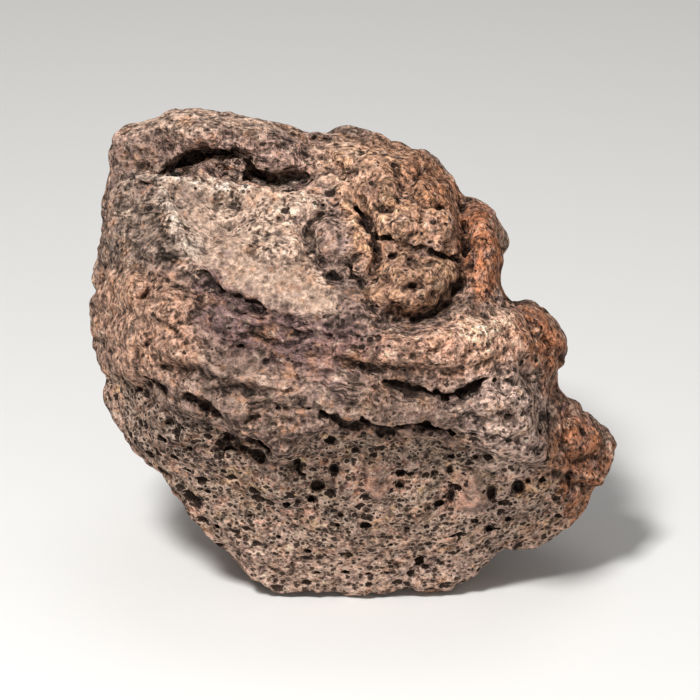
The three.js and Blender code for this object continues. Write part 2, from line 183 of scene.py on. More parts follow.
# Open cracks: line on the drawing plane (left to right), half width, depth, how far the crack climbs for each mm
# that it goes in, and how far the layer above stands out over the one below.
SLOTS = [
    ([(-8.5, -15.6), (-1, -18.0), (8.1, -20.0), (16.5, -19.4), (26.9, -21.0)], 1.75, 6.5, 0.4, 2.2),  # the long dark slot
    ([(7.8, -7.6), (16.5, -10.6), (24.2, -11.6), (29.3, -10.3), (34.6, -6.8)], 1.45, 6.5, 0.4, 2.4),
    ([(-35.6, -23.4), (-28.5, -24.0), (-20.6, -26.6)], 1.9, 6.5, 0.5, 2.2),
    ([(-43.2, -11.6), (-38.0, -12.4), (-33.2, -16.9)], 1.3, 5.0, 0.4, 1.6),
    ([(-55.5, -6.3), (-51.0, -8.2), (-47.8, -11.6)], 1.4, 5.0, 0.4, 1.4),
    ([(0.2, 39.6), (3.2, 35.6), (5.2, 30.8), (6.8, 26.0), (6.9, 23.4)], 1.35, 8.5, 0.0, 0.0),  # the knob's cleft
    ([(6.4, 30.2), (11.5, 28.6), (16.5, 27.0), (22, 25.2), (28, 24.4)], 1.15, 4.8, 0.45, 0.0),
    ([(-40.5, 22.0), (-35.4, 16.6), (-29, 14.4), (-22, 10.9), (-15, 8.9)], 1.05, 3.8, 0.6, 0.0),
    ([(-12.4, 53.6), (-12.1, 50), (-12.4, 47.2)], 0.6, 3.5, 0.0, 0.0),
    ([(29.8, 36), (29.9, 27), (28.6, 18), (24.5, 12.5)], 1.0, 5.0, 0.0, 0.0),
    ([(7, 10.4), (12, 8.8), (17, 8.4), (22, 10.4), (26.5, 14.2)], 0.85, 4.0, 0.3, 0.0),
    ([(-33, 2.4), (-25, 1.2), (-17.5, -1.0), (-11.5, -3.1)], 0.6, 3.0, 0.4, 0.6),
    ([(-36, 0.6), (-20, -4.5), (-6, -8.0), (4, -9.0)], 0.4, 2.4, 0.3, 1.2),
    ([(-2.5, 25), (1, 19.5), (3.5, 15)], 1.0, 3.4, 0.0, 0.0),
    ([(51.0, -8), (51.4, -16), (52.0, -28)], 0.6, 3.0, 0.0, 0.0),
    ([(44.5, 12.5), (46.5, 6), (48.0, -1)], 0.6, 3.0, 0.0, 0.0),
    ([(-22, -13.5), (-12, -14.8), (-4, -13.6)], 0.5, 2.4, 0.4, 1.0),
    ([(29, -16.2), (36, -14.8), (44, -17.0)], 0.5, 2.4, 0.3, 0.8),
    ([(12, 2.2), (22, 0.2), (33, 1.2), (42, 4.0)], 0.35, 1.8, 0.3, 0.8),
    ([(-60, 13), (-53, 15), (-47, 11)], 0.4, 1.8, 0.2, 0.8),
    ([(-14.5, 41), (-10.5, 38.2), (-7, 38.8)], 0.5, 2.2, 0.2, 0.6),
    ([(12.5, 48.5), (13.2, 44), (12.6, 40)], 0.35, 1.6, 0.0, 0.0),
    ([(14, 37), (20, 36), (24, 38.5)], 0.45, 2.0, 0.2, 1.0),
    ([(-20.0, 47.1), (-16.0, 47.3), (-12.4, 46.9)], 0.4, 1.8, 0.3, 0.4),
    ([(-33, 11.6), (-24, 8.4), (-14, 5.6), (-5, 4.6)], 0.45, 2.2, 0.4, 1.0),
    ([(-38, 8.4), (-30, 4.6), (-22, 3.4), (-13, 1.2)], 0.35, 2.0, 0.4, 0.9),
    ([(-2, -2.0), (7, -4.6), (15, -6.6), (22, -7.4)], 0.4, 2.2, 0.4, 1.0),
    ([(-46, -2.2), (-37, -5.4), (-28, -8.0), (-19, -9.8), (-10, -10.2)], 0.4, 2.2, 0.4, 1.2),
    ([(9, -14.4), (17, -15.6), (26, -15.2)], 0.4, 2.0, 0.4, 0.8),
]

# Single large gas holes: across, up, half width, half height, depth.
BIG_HOLES = [
    (10.5, 25.2, 1.5, 1.0, 3.2), (15.0, 24.2, 1.3, 0.9, 2.8), (20.0, 23.2, 1.5, 1.0, 3.0), (9.0, 19.0, 1.1, 1.4, 2.8), (15.4, 17.4, 1.5, 1.1, 3.0),
    (21.0, 15.6, 1.2, 1.0, 2.8), (26.0, 17.6, 1.1, 1.5, 3.0), (12.0, 11.8, 1.4, 0.9, 2.8), (6.2, 18.4, 0.9, 1.4, 2.4), (24.5, 28.4, 1.0, 0.9, 2.0),
    (-4.7, -30.0, 1.6, 1.6, 3.4), (-9.0, -34.6, 2.3, 1.8, 3.6), (-14.1, -29.0, 1.2, 2.0, 2.8), (-6.9, -27.8, 0.9, 0.9, 2.0), (-14.0, -38.8, 1.5, 0.9, 2.2),
    (43.9, -35.0, 1.8, 2.0, 4.0), (36.8, -36.7, 1.4, 2.4, 3.4), (26.2, -37.6, 1.1, 2.9, 3.0), (25.6, -30.3, 1.0, 1.4, 2.4), (21.8, -31.2, 1.0, 1.2, 1.8),
    (12.6, -34.1, 1.4, 1.5, 2.4), (42.9, -22.2, 1.3, 1.3, 2.4), (32.3, -26.9, 1.1, 0.9, 2.0), (46.5, -33.4, 1.0, 1.0, 2.0), (-47.6, -18.0, 1.7, 1.5, 3.0),
    (-38.0, -13.6, 2.0, 1.6, 3.0), (-36.0, -25.0, 1.1, 0.9, 2.2), (-3.0, -42.5, 1.2, 1.0, 2.0), (14.5, -46.5, 1.2, 1.1, 2.2), (-27.0, -43.0, 1.3, 1.0, 2.2),
    (-25.2, 36.2, 1.2, 0.8, 2.0), (-22.2, 33.4, 1.0, 0.8, 1.8), (-19.0, 35.0, 1.1, 0.8, 1.8), (-45.6, 38.5, 0.9, 0.7, 1.6), (-10.4, 14.4, 1.0, 0.8, 1.6),
    (-7.6, 23.0, 1.5, 1.1, 2.6), (-4.6, 21.0, 1.1, 1.0, 2.2), (36.5, -46.5, 1.5, 1.1, 2.4), (58.0, -32.0, 1.2, 1.4, 2.2), (-16.0, 26.0, 0.8, 0.7, 1.4),
    (-1.0, -14.4, 1.2, 0.9, 2.0), (-20.0, -20.6, 1.2, 0.9, 2.0), (-29.5, -20.2, 1.2, 0.9, 2.0), (20.0, -40.5, 1.0, 0.9, 1.8), (4.0, -41.0, 1.2, 0.8, 1.8),
]

# Paler and darker parts of the front, partly the stone's own tones and partly painted light and shade (lit tops, the
# stone lit in the hollow under the slab, shaded undersides): across, up, half width, half height, how much.
TONE_AND_PAINTED_LIGHT = [
    (35.0, 25.0, 6.5, 9.0, 0.42), (-10.0, 41.5, 9.0, 7.0, 0.40), (-4.0, 31.0, 6.0, 6.0, 0.32), (16.0, 35.0, 10.0, 5.0, 0.24), (16.0, 17.0, 11.0, 8.0, -0.20),
    (23.0, 49.0, 8.0, 8.0, -0.15), (12.0, 3.0, 24.0, 5.5, 0.33), (42.0, -18.0, 8.0, 10.0, 0.27), (0.0, -60.0, 40.0, 9.0, 0.25), (-45.0, -22.0, 11.0, 10.0, -0.24),
    (-35.0, -6.0, 12.0, 5.0, -0.02), (-32.0, 40.0, 12.0, 6.0, 0.12), (-35.5, 49.4, 8.0, 4.2, 1.3), (-14.0, -10.5, 14.0, 4.0, 0.14), (-60.0, -3.0, 8.0, 6.0, -0.10),
    (0.0, -9.0, 30.0, 7.0, -0.10), (-20.0, 4.0, 18.0, 7.0, -0.12), (46.0, -44.0, 14.0, 12.0, -0.08), (-4.0, -34.0, 36.0, 14.0, -0.22), (11.0, -14.0, 14.0, 4.5, -0.12), (-55.0, 14.0, 12.0, 8.0, -0.08),
    (-28.0, 55.5, 14.0, 3.5, -0.20), (-56.0, 53.5, 7.0, 5.0, -0.15), (-62.0, 34.0, 8.0, 9.0, 0.06),
]

GRID = 0.5
A0, A1, B0, B1 = -82.0, 82.0, -78.0, 78.0
ga, gb = np.meshgrid(np.arange(A0, A1, GRID, dtype=np.float32), np.arange(B0, B1, GRID, dtype=np.float32), indexing="ij")


def at(layer, a, b):
    """A layer of the drawing plane, sampled between its points."""
    u = np.clip((a - A0) / GRID, 0, layer.shape[0] - 1.001)
    v = np.clip((b - B0) / GRID, 0, layer.shape[1] - 1.001)
    i, j = u.astype(np.int32), v.astype(np.int32)
    u, v = (u - i).astype(np.float32), (v - j).astype(np.float32)
    return (layer[i, j] * (1 - u) + layer[i + 1, j] * u) * (1 - v) + (layer[i, j + 1] * (1 - u) + layer[i + 1, j + 1] * u) * v


def relief(a, b, crisp):
    """The folded front's relief. crisp=0 is what the CAD solid carries, crisp=1 has the steps at their real sharpness."""
    s = 1 - 0.62 * crisp
    h = dome(KNOB, a, b, 9, 11 if not crisp else 9.5, 2.4 * s)
    h += dome(RED_LOBE, a, b, 3.5, 5, 2.4 * s)
    h += dome(SLAB, a, b, 6, 6, 2.4 * s)
    h += dome(LEFT_BULGE, a, b, 3.5, 12)
    h += dome(RIGHT_MASS, a, b, 4, 9 if not crisp else 7)
    h += dome(SHELF, a, b, 5, 5.5, 4 * s)
    h += groove(KNOB_GROOVE, a, b, 4.2 + 1.6 * crisp, 4.4 * (1 - 0.4 * crisp))
    h += groove(KNOB_CLEFT, a, b, 2.6 + 0.8 * crisp, 4 * (1 - 0.4 * crisp))
    h += groove(PANEL_EDGE, a, b, 1.5, 5)
    h -= groove(FOLD, a, b, 1.8, 4.5)
    h += groove(LAYER_2, a, b, 1.8, 4.5 * (1 - 0.5 * crisp))
    h -= groove(LAYER_1, a, b, 1.6, 4 * (1 - 0.4 * crisp))
    d, side, _ = to_line(OVERHANG, a, b)
    below = np.where(side < 0, d, -d)
    h -= 5.2 * step(-2.5 * s, 5 * s, below) * (1 - step(8, 30, below))
    h += 1.6 * np.exp(-(((below + 3) / 3.5) ** 2))
    d, side, _ = to_line(RIGHT_STEP, a, b)
    beyond = np.where(side > 0, d, -d)
    h -= 4.2 * step(-2 * s, 4.5 * s, beyond) * step(-38, -30, b) * (1 - step(-6, 2, b))
    return h.astype(np.float32)


def ring(a, b, r=3.2):
    total = 1.5 * relief(a, b, 0)
    for k in range(6):
        total += relief(a + r * math.cos(k * math.pi / 3), b + r * math.sin(k * math.pi / 3), 0)
    return total / 7.5


carve = relief(ga, gb, 1) - ring(ga, gb)
for line, _, _, _, lip in SLOTS:
    if lip:
        d, side, along = to_line(line, ga, gb)
        ends = step(0, 0.14, along) * step(1, 0.86, along)
        carve += lip * ends * np.where(side < 0, -np.exp(-d / 4.5), 0.45 * np.exp(-d / 2.5))
# Finer forms that the solid doesn't carry
for line, out, up, down in LEDGES:
    d, side, along = to_line(line, ga, gb)
    ends = step(0, 0.16, along) * step(1, 0.84, along)
    under = np.where(side < 0, d, -d)
    carve += 1.15 * out * ends * np.where(under > 0, -0.72 * np.exp(-under / down), 0.28 * np.exp(under / up))
d, side, along = to_line(LEDGE, ga, gb)
carve += 1.6 * np.exp(-((d / 1.5) ** 2)) * step(0, 0.1, along) * step(1, 0.9, along)
d, side, along = to_line(FOLD, ga, gb)
left = np.where(side > 0, -d, d)  # beyond the fold, on the left facet
carve -= (2.6 * step(-0.4, 1.4, -left) + 0.30 * np.clip(-left, 0, 13)) * step(24, 10, d) * step(0.0, 0.1, along) * step(1, 0.85, along)
carve += 1.1 * np.exp(-(((left - 0.6) / 1.3) ** 2)) * step(0.0, 0.1, along) * step(1, 0.85, along)
carve += plateau(SMOOTH_PANEL, ga, gb, 0.9, 2.5)
carve -= plateau(KNOB_LOW, ga, gb, 3.6, 1.0)
carve += dome(PATCH_1, ga, gb, 1.5, 2.2, 0.3) + dome(PATCH_2, ga, gb, 1.8, 2.2, 0.3)
for line, deep, wide in [
    ([(-52.5, 60), (-49.5, 55.5), (-46.5, 51)], 2.0, 1.6), ([(12, 50), (10, 44), (8, 38)], 1.0, 1.6), ([(-7, 46), (-4, 38), (-5, 36)], 1.4, 2.0), ([(-56, 24), (-52, 17), (-50, 12)], 1.1, 1.6),
    ([(-62, 36), (-56, 34), (-50, 36)], 0.8, 1.2), ([(-62, 42), (-58, 38), (-57, 30)], 0.8, 1.0), ([(-12, 34), (-11, 27), (-8, 21), (-3, 21)], 2.4, 2.0),
    ([(30, 6), (36, 4), (44, 6)], 0.8, 1.3), ([(38, -6), (39, -14), (37, -22)], 1.2, 1.3), ([(48, -8), (48.5, -16), (48, -26)], 1.0, 1.2),
]:
    carve += groove(line, ga, gb, deep, wide)

# Where each kind of surface is, 0 to 1, on the drawing plane
below_lip = to_line(OVERHANG, ga, gb)
below_lip = np.where(below_lip[1] < 0, below_lip[0], -below_lip[0])
zone = {
    "panel": step(1.5, -2.5, to_shape(PANEL, ga, gb)),
    "sleek": np.maximum(step(2.5, -2.5, to_shape(SMOOTH_PANEL, ga, gb)), np.maximum(0.55 * step(2.5, -2.5, to_shape(SMOOTH_LAYERS, ga, gb)), np.maximum(step(0.8, -0.8, to_shape(PATCH_1, ga, gb)), step(0.8, -0.8, to_shape(PATCH_2, ga, gb))))),
    "facet": step(3, -3, to_shape(LEFT_FACET, ga, gb)),
    "bulge": step(4, -4, to_shape(LEFT_BULGE, ga, gb)),
    "purple": step(3, -3, to_shape(PURPLE, ga, gb)),
    "knob": step(2.5, -2, to_shape(KNOB, ga, gb)),
    "slab": step(2.5, -1.5, to_shape(SLAB, ga, gb)),
    "lobe": step(1.5, -1.5, to_shape(RED_LOBE, ga, gb)),
    "endknob": step(3.5, -2.5, to_shape(END_KNOB, ga, gb)),
    "flank": step(3, -2, to_shape(RED_FLANK, ga, gb)),
    "shelf": step(2, -1.5, to_shape(SHELF, ga, gb)),
    "mass": step(3, -2, to_shape(RIGHT_MASS, ga, gb)),
    "lower": step(-1, 3, below_lip),
}
zone = {k: v.astype(np.float32) for k, v in zone.items()}


# ---- node helpers, the same for geometry nodes and for the material, so that both see the same holes ----
class Tree:
    def __init__(self, tree):
        self.tree = tree

    def put(self, kind, inputs=(), **settings):
        node = self.tree.nodes.new(kind)
        for key, value in settings.items():
            setattr(node, key, value)
        for key, value in inputs:
            socket = node.inputs[key]
            if isinstance(value, bpy.types.NodeSocket):
                self.tree.links.new(value, socket)
            elif value is not None:
                socket.default_value = value
        return node

    def math(self, operation, a, b=None, c=None, clamp=False):
        node = self.put("ShaderNodeMath", [(0, a), (1, b), (2, c)], operation=operation, use_clamp=clamp)
        return node.outputs[0]

    def vec(self, operation, a, b=None, scale=None):
        node = self.put("ShaderNodeVectorMath", [(0, a)] + ([(1, b)] if b is not None else []) + ([("Scale", scale)] if scale is not None else []), operation=operation)
        return node.outputs["Value"] if operation in ("LENGTH", "DISTANCE", "DOT_PRODUCT") else node.outputs[0]

    def noise(self, vector, size, detail=2.0, rough=0.5, color=False, warp=0.0, kind="FBM"):
        node = self.put("ShaderNodeTexNoise", [("Vector", vector), ("Scale", 1 / size), ("Detail", detail), ("Roughness", rough), ("Distortion", warp)], noise_dimensions="3D", noise_type=kind, normalize=True)
        return node.outputs[1 if color else 0]

    def cells(self, vector, size, feature="F1", mess=1.0):
        node = self.put("ShaderNodeTexVoronoi", [("Vector", vector), ("Scale", 1 / size), ("Randomness", mess)], voronoi_dimensions="3D", feature=feature, distance="EUCLIDEAN")
        return node

    def span(self, x, lo, hi, a=0.0, b=1.0, smooth=True):
        node = self.put("ShaderNodeMapRange", [("Value", x), ("From Min", lo), ("From Max", hi), ("To Min", a), ("To Max", b)], interpolation_type="SMOOTHSTEP" if smooth else "LINEAR", clamp=True)
        return node.outputs[0]


# Gas holes: cell size, smallest and largest radius (mm), stretch of x, y, z, share of cells that have one.
HOLES = [
    (1.95, 0.46, 0.95, (1.0, 1.05, 1.12), 0.98),
    (4.3, 0.95, 1.75, (0.9, 1.0, 1.15), 0.62),
    (10.5, 1.6, 2.9, (0.85, 1.0, 1.05), 0.58),
]
CARVED = (1, 2)  # the smallest are in the material alone


def mm(t, position):
    return t.vec("SCALE", position, scale=1000.0)


def holes(t, p, density, which=(0, 1, 2)):
    """How far inside a gas hole a point is, in mm, from p in mm. density goes from 0, no holes, to 1."""
    shift = t.vec("SUBTRACT", t.noise(p, 1.8, 2.0, 0.6, color=True), (0.5, 0.5, 0.5))
    p = t.vec("ADD", p, t.vec("SCALE", shift, scale=1.5))
    best = None
    for k in which:
        size, small, large, stretch, share = HOLES[k]
        q = t.vec("ADD", t.vec("MULTIPLY", p, stretch), (17.0 * k, 5.0 * k, 31.0 * k))
        cell = t.cells(q, size, mess=0.85)
        chance = t.put("ShaderNodeSeparateXYZ", [(0, cell.outputs["Color"])])
        radius = t.math("MULTIPLY_ADD", t.math("POWER", chance.outputs[0], 1.6), large - small, small)
        there = t.math("SUBTRACT", density, 0.28) if k == 2 else density
        keep = t.math("MULTIPLY", t.math("SUBTRACT", t.math("MULTIPLY", there, share), chance.outputs[1]), 9.0, clamp=True)
        radius = t.math("MULTIPLY", radius, keep)
        inside = t.math("SUBTRACT", radius, t.math("MULTIPLY", cell.outputs["Distance"], size))
        best = inside if best is None else t.math("MAXIMUM", best, inside)
    return best


def probe(points, recipes, given=None):
    """Node fields evaluated at points in metres. recipes maps a name to a function of (tree, position)."""
    mesh = bpy.data.meshes.new("probe")
    mesh.vertices.add(len(points))
    mesh.vertices.foreach_set("co", np.ascontiguousarray(points, np.float32).ravel())
    for name, values in (given or {}).items():
        mesh.attributes.new(name, "FLOAT", "POINT").data.foreach_set("value", np.ascontiguousarray(values, np.float32))
    thing = bpy.data.objects.new("probe", mesh)
    scene.collection.objects.link(thing)
    group = bpy.data.node_groups.new("probe", "GeometryNodeTree")
    group.interface.new_socket("Geometry", in_out="INPUT", socket_type="NodeSocketGeometry")
    group.interface.new_socket("Geometry", in_out="OUTPUT", socket_type="NodeSocketGeometry")
    t = Tree(group)
    flow = t.put("NodeGroupInput").outputs[0]
    p = mm(t, t.put("GeometryNodeInputPosition").outputs[0])
    for name, recipe in recipes.items():
        store = t.put("GeometryNodeStoreNamedAttribute", [("Geometry", flow), ("Name", name)], data_type="FLOAT", domain="POINT")
        group.links.new(recipe(t, p), store.inputs["Value"])
        flow = store.outputs[0]
    t.put("NodeGroupOutput", [(0, flow)])
    modifier = thing.modifiers.new("probe", "NODES")
    modifier.node_group = group
    made = thing.evaluated_get(bpy.context.evaluated_depsgraph_get()).data
    found = {}
    for name in recipes:
        values = np.empty(len(points), np.float32)
        made.attributes[name].data.foreach_get("value", values)
        found[name] = values
    bpy.data.objects.remove(thing)
    bpy.data.meshes.remove(mesh)
    bpy.data.node_groups.remove(group)
    return found


def given(name):
    def read(t, p=None):
        return t.put("GeometryNodeInputNamedAttribute", [("Name", name)], data_type="FLOAT").outputs[0]
    return read


# ---- the solid as a volume ----
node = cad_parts["lava_rock"]
mesh = node.data
mesh.calc_loop_triangles()
points = np.empty(len(mesh.vertices) * 3, np.float32)
mesh.vertices.foreach_get("co", points)
points = points.reshape(-1, 3) @ np.array(node.matrix_world.to_3x3(), np.float32).T + np.array(node.matrix_world.translation, np.float32)
points *= 1000
tris = np.empty(len(mesh.loop_triangles) * 3, np.int32)
mesh.loop_triangles.foreach_get("vertices", tris)
half = 9.5 / VOXEL
level = vdb.FloatGrid.createLevelSetFromPolygons(points, triangles=tris.reshape(-1, 3).astype(np.uint32), transform=vdb.createLinearTransform(voxelSize=VOXEL), halfWidth=half)
low = np.floor(points.min(0) / VOXEL).astype(int) - 10
high = np.ceil(points.max(0) / VOXEL).astype(int) + 10
shape = tuple(int(v) for v in high - low + 1)
solid = np.zeros(shape, np.float32)
level.copyToArray(solid, ijk=tuple(int(v) for v in low))
del level


def blur(volume, sigma):
    """Smooths out the solid's facets."""
    reach = int(math.ceil(2.5 * sigma))
    kernel = np.exp(-0.5 * (np.arange(-reach, reach + 1) / sigma) ** 2)
    kernel /= kernel.sum()
    for axis in range(3):
        padded = np.pad(volume, [(reach, reach) if i == axis else (0, 0) for i in range(3)], mode="edge")
        total = np.zeros_like(volume)
        for k, weight in enumerate(kernel):
            cut = [slice(None)] * 3
            cut[axis] = slice(k, k + volume.shape[axis])
            total += np.float32(weight) * padded[tuple(cut)]
        volume = total
    return volume


solid = blur(solid, 2.2)
slope_y = np.zeros_like(solid)
slope_y[:, 1:-1] = (solid[:, 2:] - solid[:, :-2]) / (2 * VOXEL)
slope_z = np.zeros_like(solid)
slope_z[:, :, 1:-1] = (solid[:, :, 2:] - solid[:, :, :-2]) / (2 * VOXEL)
band = np.nonzero((solid > -BAND_IN) & (solid < BAND_OUT))
s = solid[band]
facing = -math.cos(LEAN) * slope_y[band] + math.sin(LEAN) * slope_z[band]
del slope_y, slope_z
at_mm = (np.stack(band, 1).astype(np.float32) + low.astype(np.float32)) * VOXEL
a, b, c = to_plane(at_mm)
front = step(0.05, 0.45, facing) * step(-6, 6, c)


def spread(maps, a, b, front, noise_a):
    """The zones at points in space: the drawn ones on the front, and patches of the same kinds on the rest."""
    found = {k: at(v, a, b) * front for k, v in maps.items()}
    rest = 1 - front
    found["lower"] += rest * noise_a["crustless"]
    found["panel"] += rest * noise_a["tan"] * 0.7
    found["flank"] += rest * noise_a["rust"]
    found["purple"] += rest * noise_a["dark"] * 0.8
    return found


warps = {
    "wa": lambda t, p: t.math("MULTIPLY_ADD", t.noise(t.vec("ADD", p, (0.0, 50.0, 0.0)), 8.0, 4.0, 0.62), 15.0, -7.5),
    "wb": lambda t, p: t.math("MULTIPLY_ADD", t.noise(t.vec("ADD", p, (90.0, 0.0, 0.0)), 8.0, 4.0, 0.62), 15.0, -7.5),
    "na": lambda t, p: t.math("MULTIPLY_ADD", t.noise(t.vec("ADD", p, (0.0, 0.0, 70.0)), 3.2, 2.0, 0.55), 4.4, -2.2),
    "nb": lambda t, p: t.math("MULTIPLY_ADD", t.noise(t.vec("ADD", p, (0.0, 20.0, 70.0)), 3.2, 2.0, 0.55), 4.4, -2.2),
}
patches = {
    "crustless": lambda t, p: t.span(t.noise(t.vec("ADD", p, (40.0, 0.0, 9.0)), 46.0, 2.0, 0.55), 0.42, 0.54),
    "tan": lambda t, p: t.span(t.noise(t.vec("ADD", p, (0.0, 77.0, 0.0)), 34.0, 3.0, 0.6), 0.52, 0.66),
    "rust": lambda t, p: t.span(t.noise(t.vec("ADD", p, (0.0, 0.0, 131.0)), 38.0, 3.0, 0.6), 0.55, 0.66),
    "dark": lambda t, p: t.span(t.noise(t.vec("ADD", p, (211.0, 0.0, 0.0)), 30.0, 3.0, 0.6), 0.54, 0.66),
}


def hole_density(z):
    """Gas holes are thick on the broken faces and rare on the crust."""
    d = 0.16 + 0.84 * z["lower"]
    d = np.maximum(d, 0.34 * z["panel"])
    d = lerp(d, 0.30, z["knob"])
    d = lerp(d, 0.26, z["shelf"])
    d = lerp(d, 0.42, z["mass"])
    d = lerp(d, 0.12, z["facet"])
    d = lerp(d, 0.16, np.clip(z["lobe"] + z["endknob"], 0, 1))
    d = lerp(d, 0.30, np.clip(z["flank"], 0, 1))
    return np.clip(d * (1 - 0.93 * z["sleek"]), 0, 1)


found = probe(at_mm / 1000, {**patches, **warps})
zones = spread(zone, a + found["wa"], b + found["wb"], front, found)
found_bend_a, found_bend_b = found["na"], found["nb"]
bent_a, bent_b = a + found_bend_a, b + found_bend_b
density = hole_density(zones)


def layer_height(a, b):
    """How high in the pile of flow layers a point of the drawing plane is. A layer line is at 24, at 12 and at 0."""
    top, mid, low = (np.interp(a, *zip(*line)).astype(np.float32) for line in LAYER_LINES)
    return np.where(b > top, 24 + b - top, np.where(b > mid, 12 + 12 * (b - mid) / (top - mid), np.where(b > low, 12 * (b - low) / (mid - low), b - low)))


def layers(at_mm, a, b, front):
    """The same anywhere on the block: on the other sides the layers dip a little to the right."""
    dip = math.radians(10.0)
    rest = at_mm[:, 0] * math.sin(dip) + (at_mm[:, 2] - 50.0) * math.cos(dip)
    return lerp(rest, layer_height(a, b), front).astype(np.float32)


def ledges(height, size, soft):
    """Layers that stand out at their lower edge: 1 at the lower edge, 0 at the upper one."""
    phase = height / size - np.floor(height / size)
    return (1 - phase) * step(0, 1, phase / soft)


strata = layers(at_mm, bent_a, bent_b, front)


probe2 = probe(
    at_mm / 1000,
    {
        "holes": lambda t, p: holes(t, p, given("density")(t), CARVED),
        "big": lambda t, p: t.noise(p, 17.0, 2.0, 0.5),
        "lump": lambda t, p: t.math("ABSOLUTE", t.math("SUBTRACT", t.noise(p, 7.5, 1.0, 0.5), 0.5)),
        "grain": lambda t, p: t.math("ABSOLUTE", t.math("SUBTRACT", t.noise(p, 3.1, 1.0, 0.5), 0.5)),
        "fine": lambda t, p: t.noise(p, 1.7, 2.0, 0.6),
        "rag": lambda t, p: t.noise(t.vec("ADD", p, (33.0, 0.0, 0.0)), 5.5, 2.0, 0.6),
        "layer": lambda t, p: t.noise(t.put("ShaderNodeCombineXYZ", [(0, t.math("MULTIPLY", t.put("ShaderNodeSeparateXYZ", [(0, p)]).outputs[0], 0.16)), (1, t.math("MULTIPLY", t.put("ShaderNodeSeparateXYZ", [(0, p)]).outputs[1], 0.3)), (2, given("strata")(t))]).outputs[0], 3.4, 2.5, 0.6),
        "fade": lambda t, p: t.noise(t.vec("ADD", p, (0.0, 140.0, 0.0)), 13.0, 2.0, 0.5),
        "clink": lambda t, p: t.cells(t.vec("ADD", p, t.vec("SCALE", t.noise(p, 2.2, 1.0, 0.5, color=True), scale=1.6)), 3.7, mess=0.95).outputs["Distance"],
        "block": lambda t, p: t.cells(t.vec("ADD", p, t.vec("SCALE", t.noise(p, 16.0, 2.0, 0.5, color=True), scale=14.0)), 30.0, feature="DISTANCE_TO_EDGE").outputs["Distance"],
        "pile": lambda t, p: t.cells(t.vec("ADD", p, t.vec("SCALE", t.noise(p, 6.0, 2.0, 0.5, color=True), scale=5.0)), 13.0, mess=0.95).outputs["Distance"],
        "shards": lambda t, p: t.cells(t.vec("ADD", p, t.vec("SCALE", t.noise(p, 5.0, 1.0, 0.5, color=True), scale=3.0)), 6.5, feature="DISTANCE_TO_EDGE").outputs["Distance"],
    },
    given={"density": density, "strata": strata},
)

# Displacement of the surface, outward, in mm
drawn = np.clip(facing, 0, 1) * step(-4, 4, c)
move = at(carve, a + 0.5 * found_bend_a, b + 0.5 * found_bend_b) * drawn
calm = 1 - 0.85 * zones["sleek"]
rugged = np.clip(1 - 0.45 * zones["panel"] - 0.65 * zones["facet"] - 0.3 * zones["lower"], 0.3, 1) * calm
lump_a, lump_b = a + 0.42 * found["wa"], b + 0.42 * found["wb"]
LUMPS_REACH = 1.9
raised = np.zeros_like(a)
for u, v, wide, tall, out in LUMPS:
    pick = np.nonzero((np.abs(lump_a - u) < wide * LUMPS_REACH) & (np.abs(lump_b - v) < tall * LUMPS_REACH) & (drawn > 0.02))[0]
    r = np.hypot((lump_a[pick] - u) / wide, (lump_b[pick] - v) / tall)
    form = 1.3 * out * (np.sqrt(np.clip(1 - r * r, 0, 1)) - 0.34 * np.exp(-(((r - 1.10) / 0.26) ** 2)))
    raised[pick] = np.where(np.abs(form) > np.abs(raised[pick]), form, raised[pick])
move += raised * drawn
layered = np.clip(1 - zones["lower"] - zones["knob"] - zones["panel"] - zones["slab"] * 0.7 - 0.9 * (zones["lobe"] + zones["endknob"] + zones["flank"]) - 0.45 * zones["shelf"] - 0.5 * zones["bulge"], 0, 1)
layered = lerp(layered, 0.50, 1 - front) * (1 - 0.8 * zones["facet"])
flat_noise = probe2["layer"] - 0.5
fade = step(0.40, 0.62, probe2["fade"])
high = strata + 9.0 * flat_noise + 16.0 * (probe2["big"] - 0.5) * (1 - front)
soft = lerp(0.36, 0.08, front).astype(np.float32)
sure = lerp(0.30, 1.0, step(0.15, 0.55, facing) * front)
move += (3.0 * (ledges(high, 5.2, soft) - 0.45) * (0.25 + 0.75 * fade) * sure + 2.6 * flat_noise) * layered * calm
move += 3.4 * (probe2["big"] - 0.5) * (1 - 0.75 * zones["sleek"]) * lerp(0.6, 1.7, 1 - front)
move += 8.0 * (probe2["lump"] - 0.09) * calm * (0.42 + 0.45 * zones["knob"] + 0.3 * zones["mass"] + 0.4 * (1 - front) - 0.2 * zones["panel"] - 0.25 * zones["facet"])
move += 3.0 * (probe2["grain"] - 0.08) * rugged
move += 1.9 * (0.30 - probe2["clink"] ** 2) * rugged * (0.6 + 0.35 * zones["knob"] + 0.3 * zones["shelf"]) * lerp(0.3, 1, step(0.1, 0.5, facing))
move += 0.6 * (probe2["fine"] - 0.5) * calm
move -= 0.9 * step(0.10, 0.0, probe2["shards"]) * calm * (0.25 + 0.75 * zones["knob"] + 0.3 * zones["mass"] + 0.3 * (1 - front))
# the outline is fuller at the slab's top left and at the tip of the flank
move += 2.7 * np.exp(-(((a + 53) / 19) ** 2) - ((b - 62) / 9) ** 2) + 2.5 * np.exp(-(((a + 65) / 9) ** 2) - ((b - 55) / 10) ** 2) + 2.6 * np.exp(-(((a - 69) / 9) ** 2) - ((b + 25) / 10) ** 2)
# the sides and the back: broken blocks with lumps on them
rest = (1 - front) * calm
move -= 3.2 * step(0.16, 0.0, probe2["block"]) * rest
move += 3.6 * (0.28 - probe2["pile"] ** 2) * rest * step(0.62, 0.38, probe2["fade"])
base_s = s - move

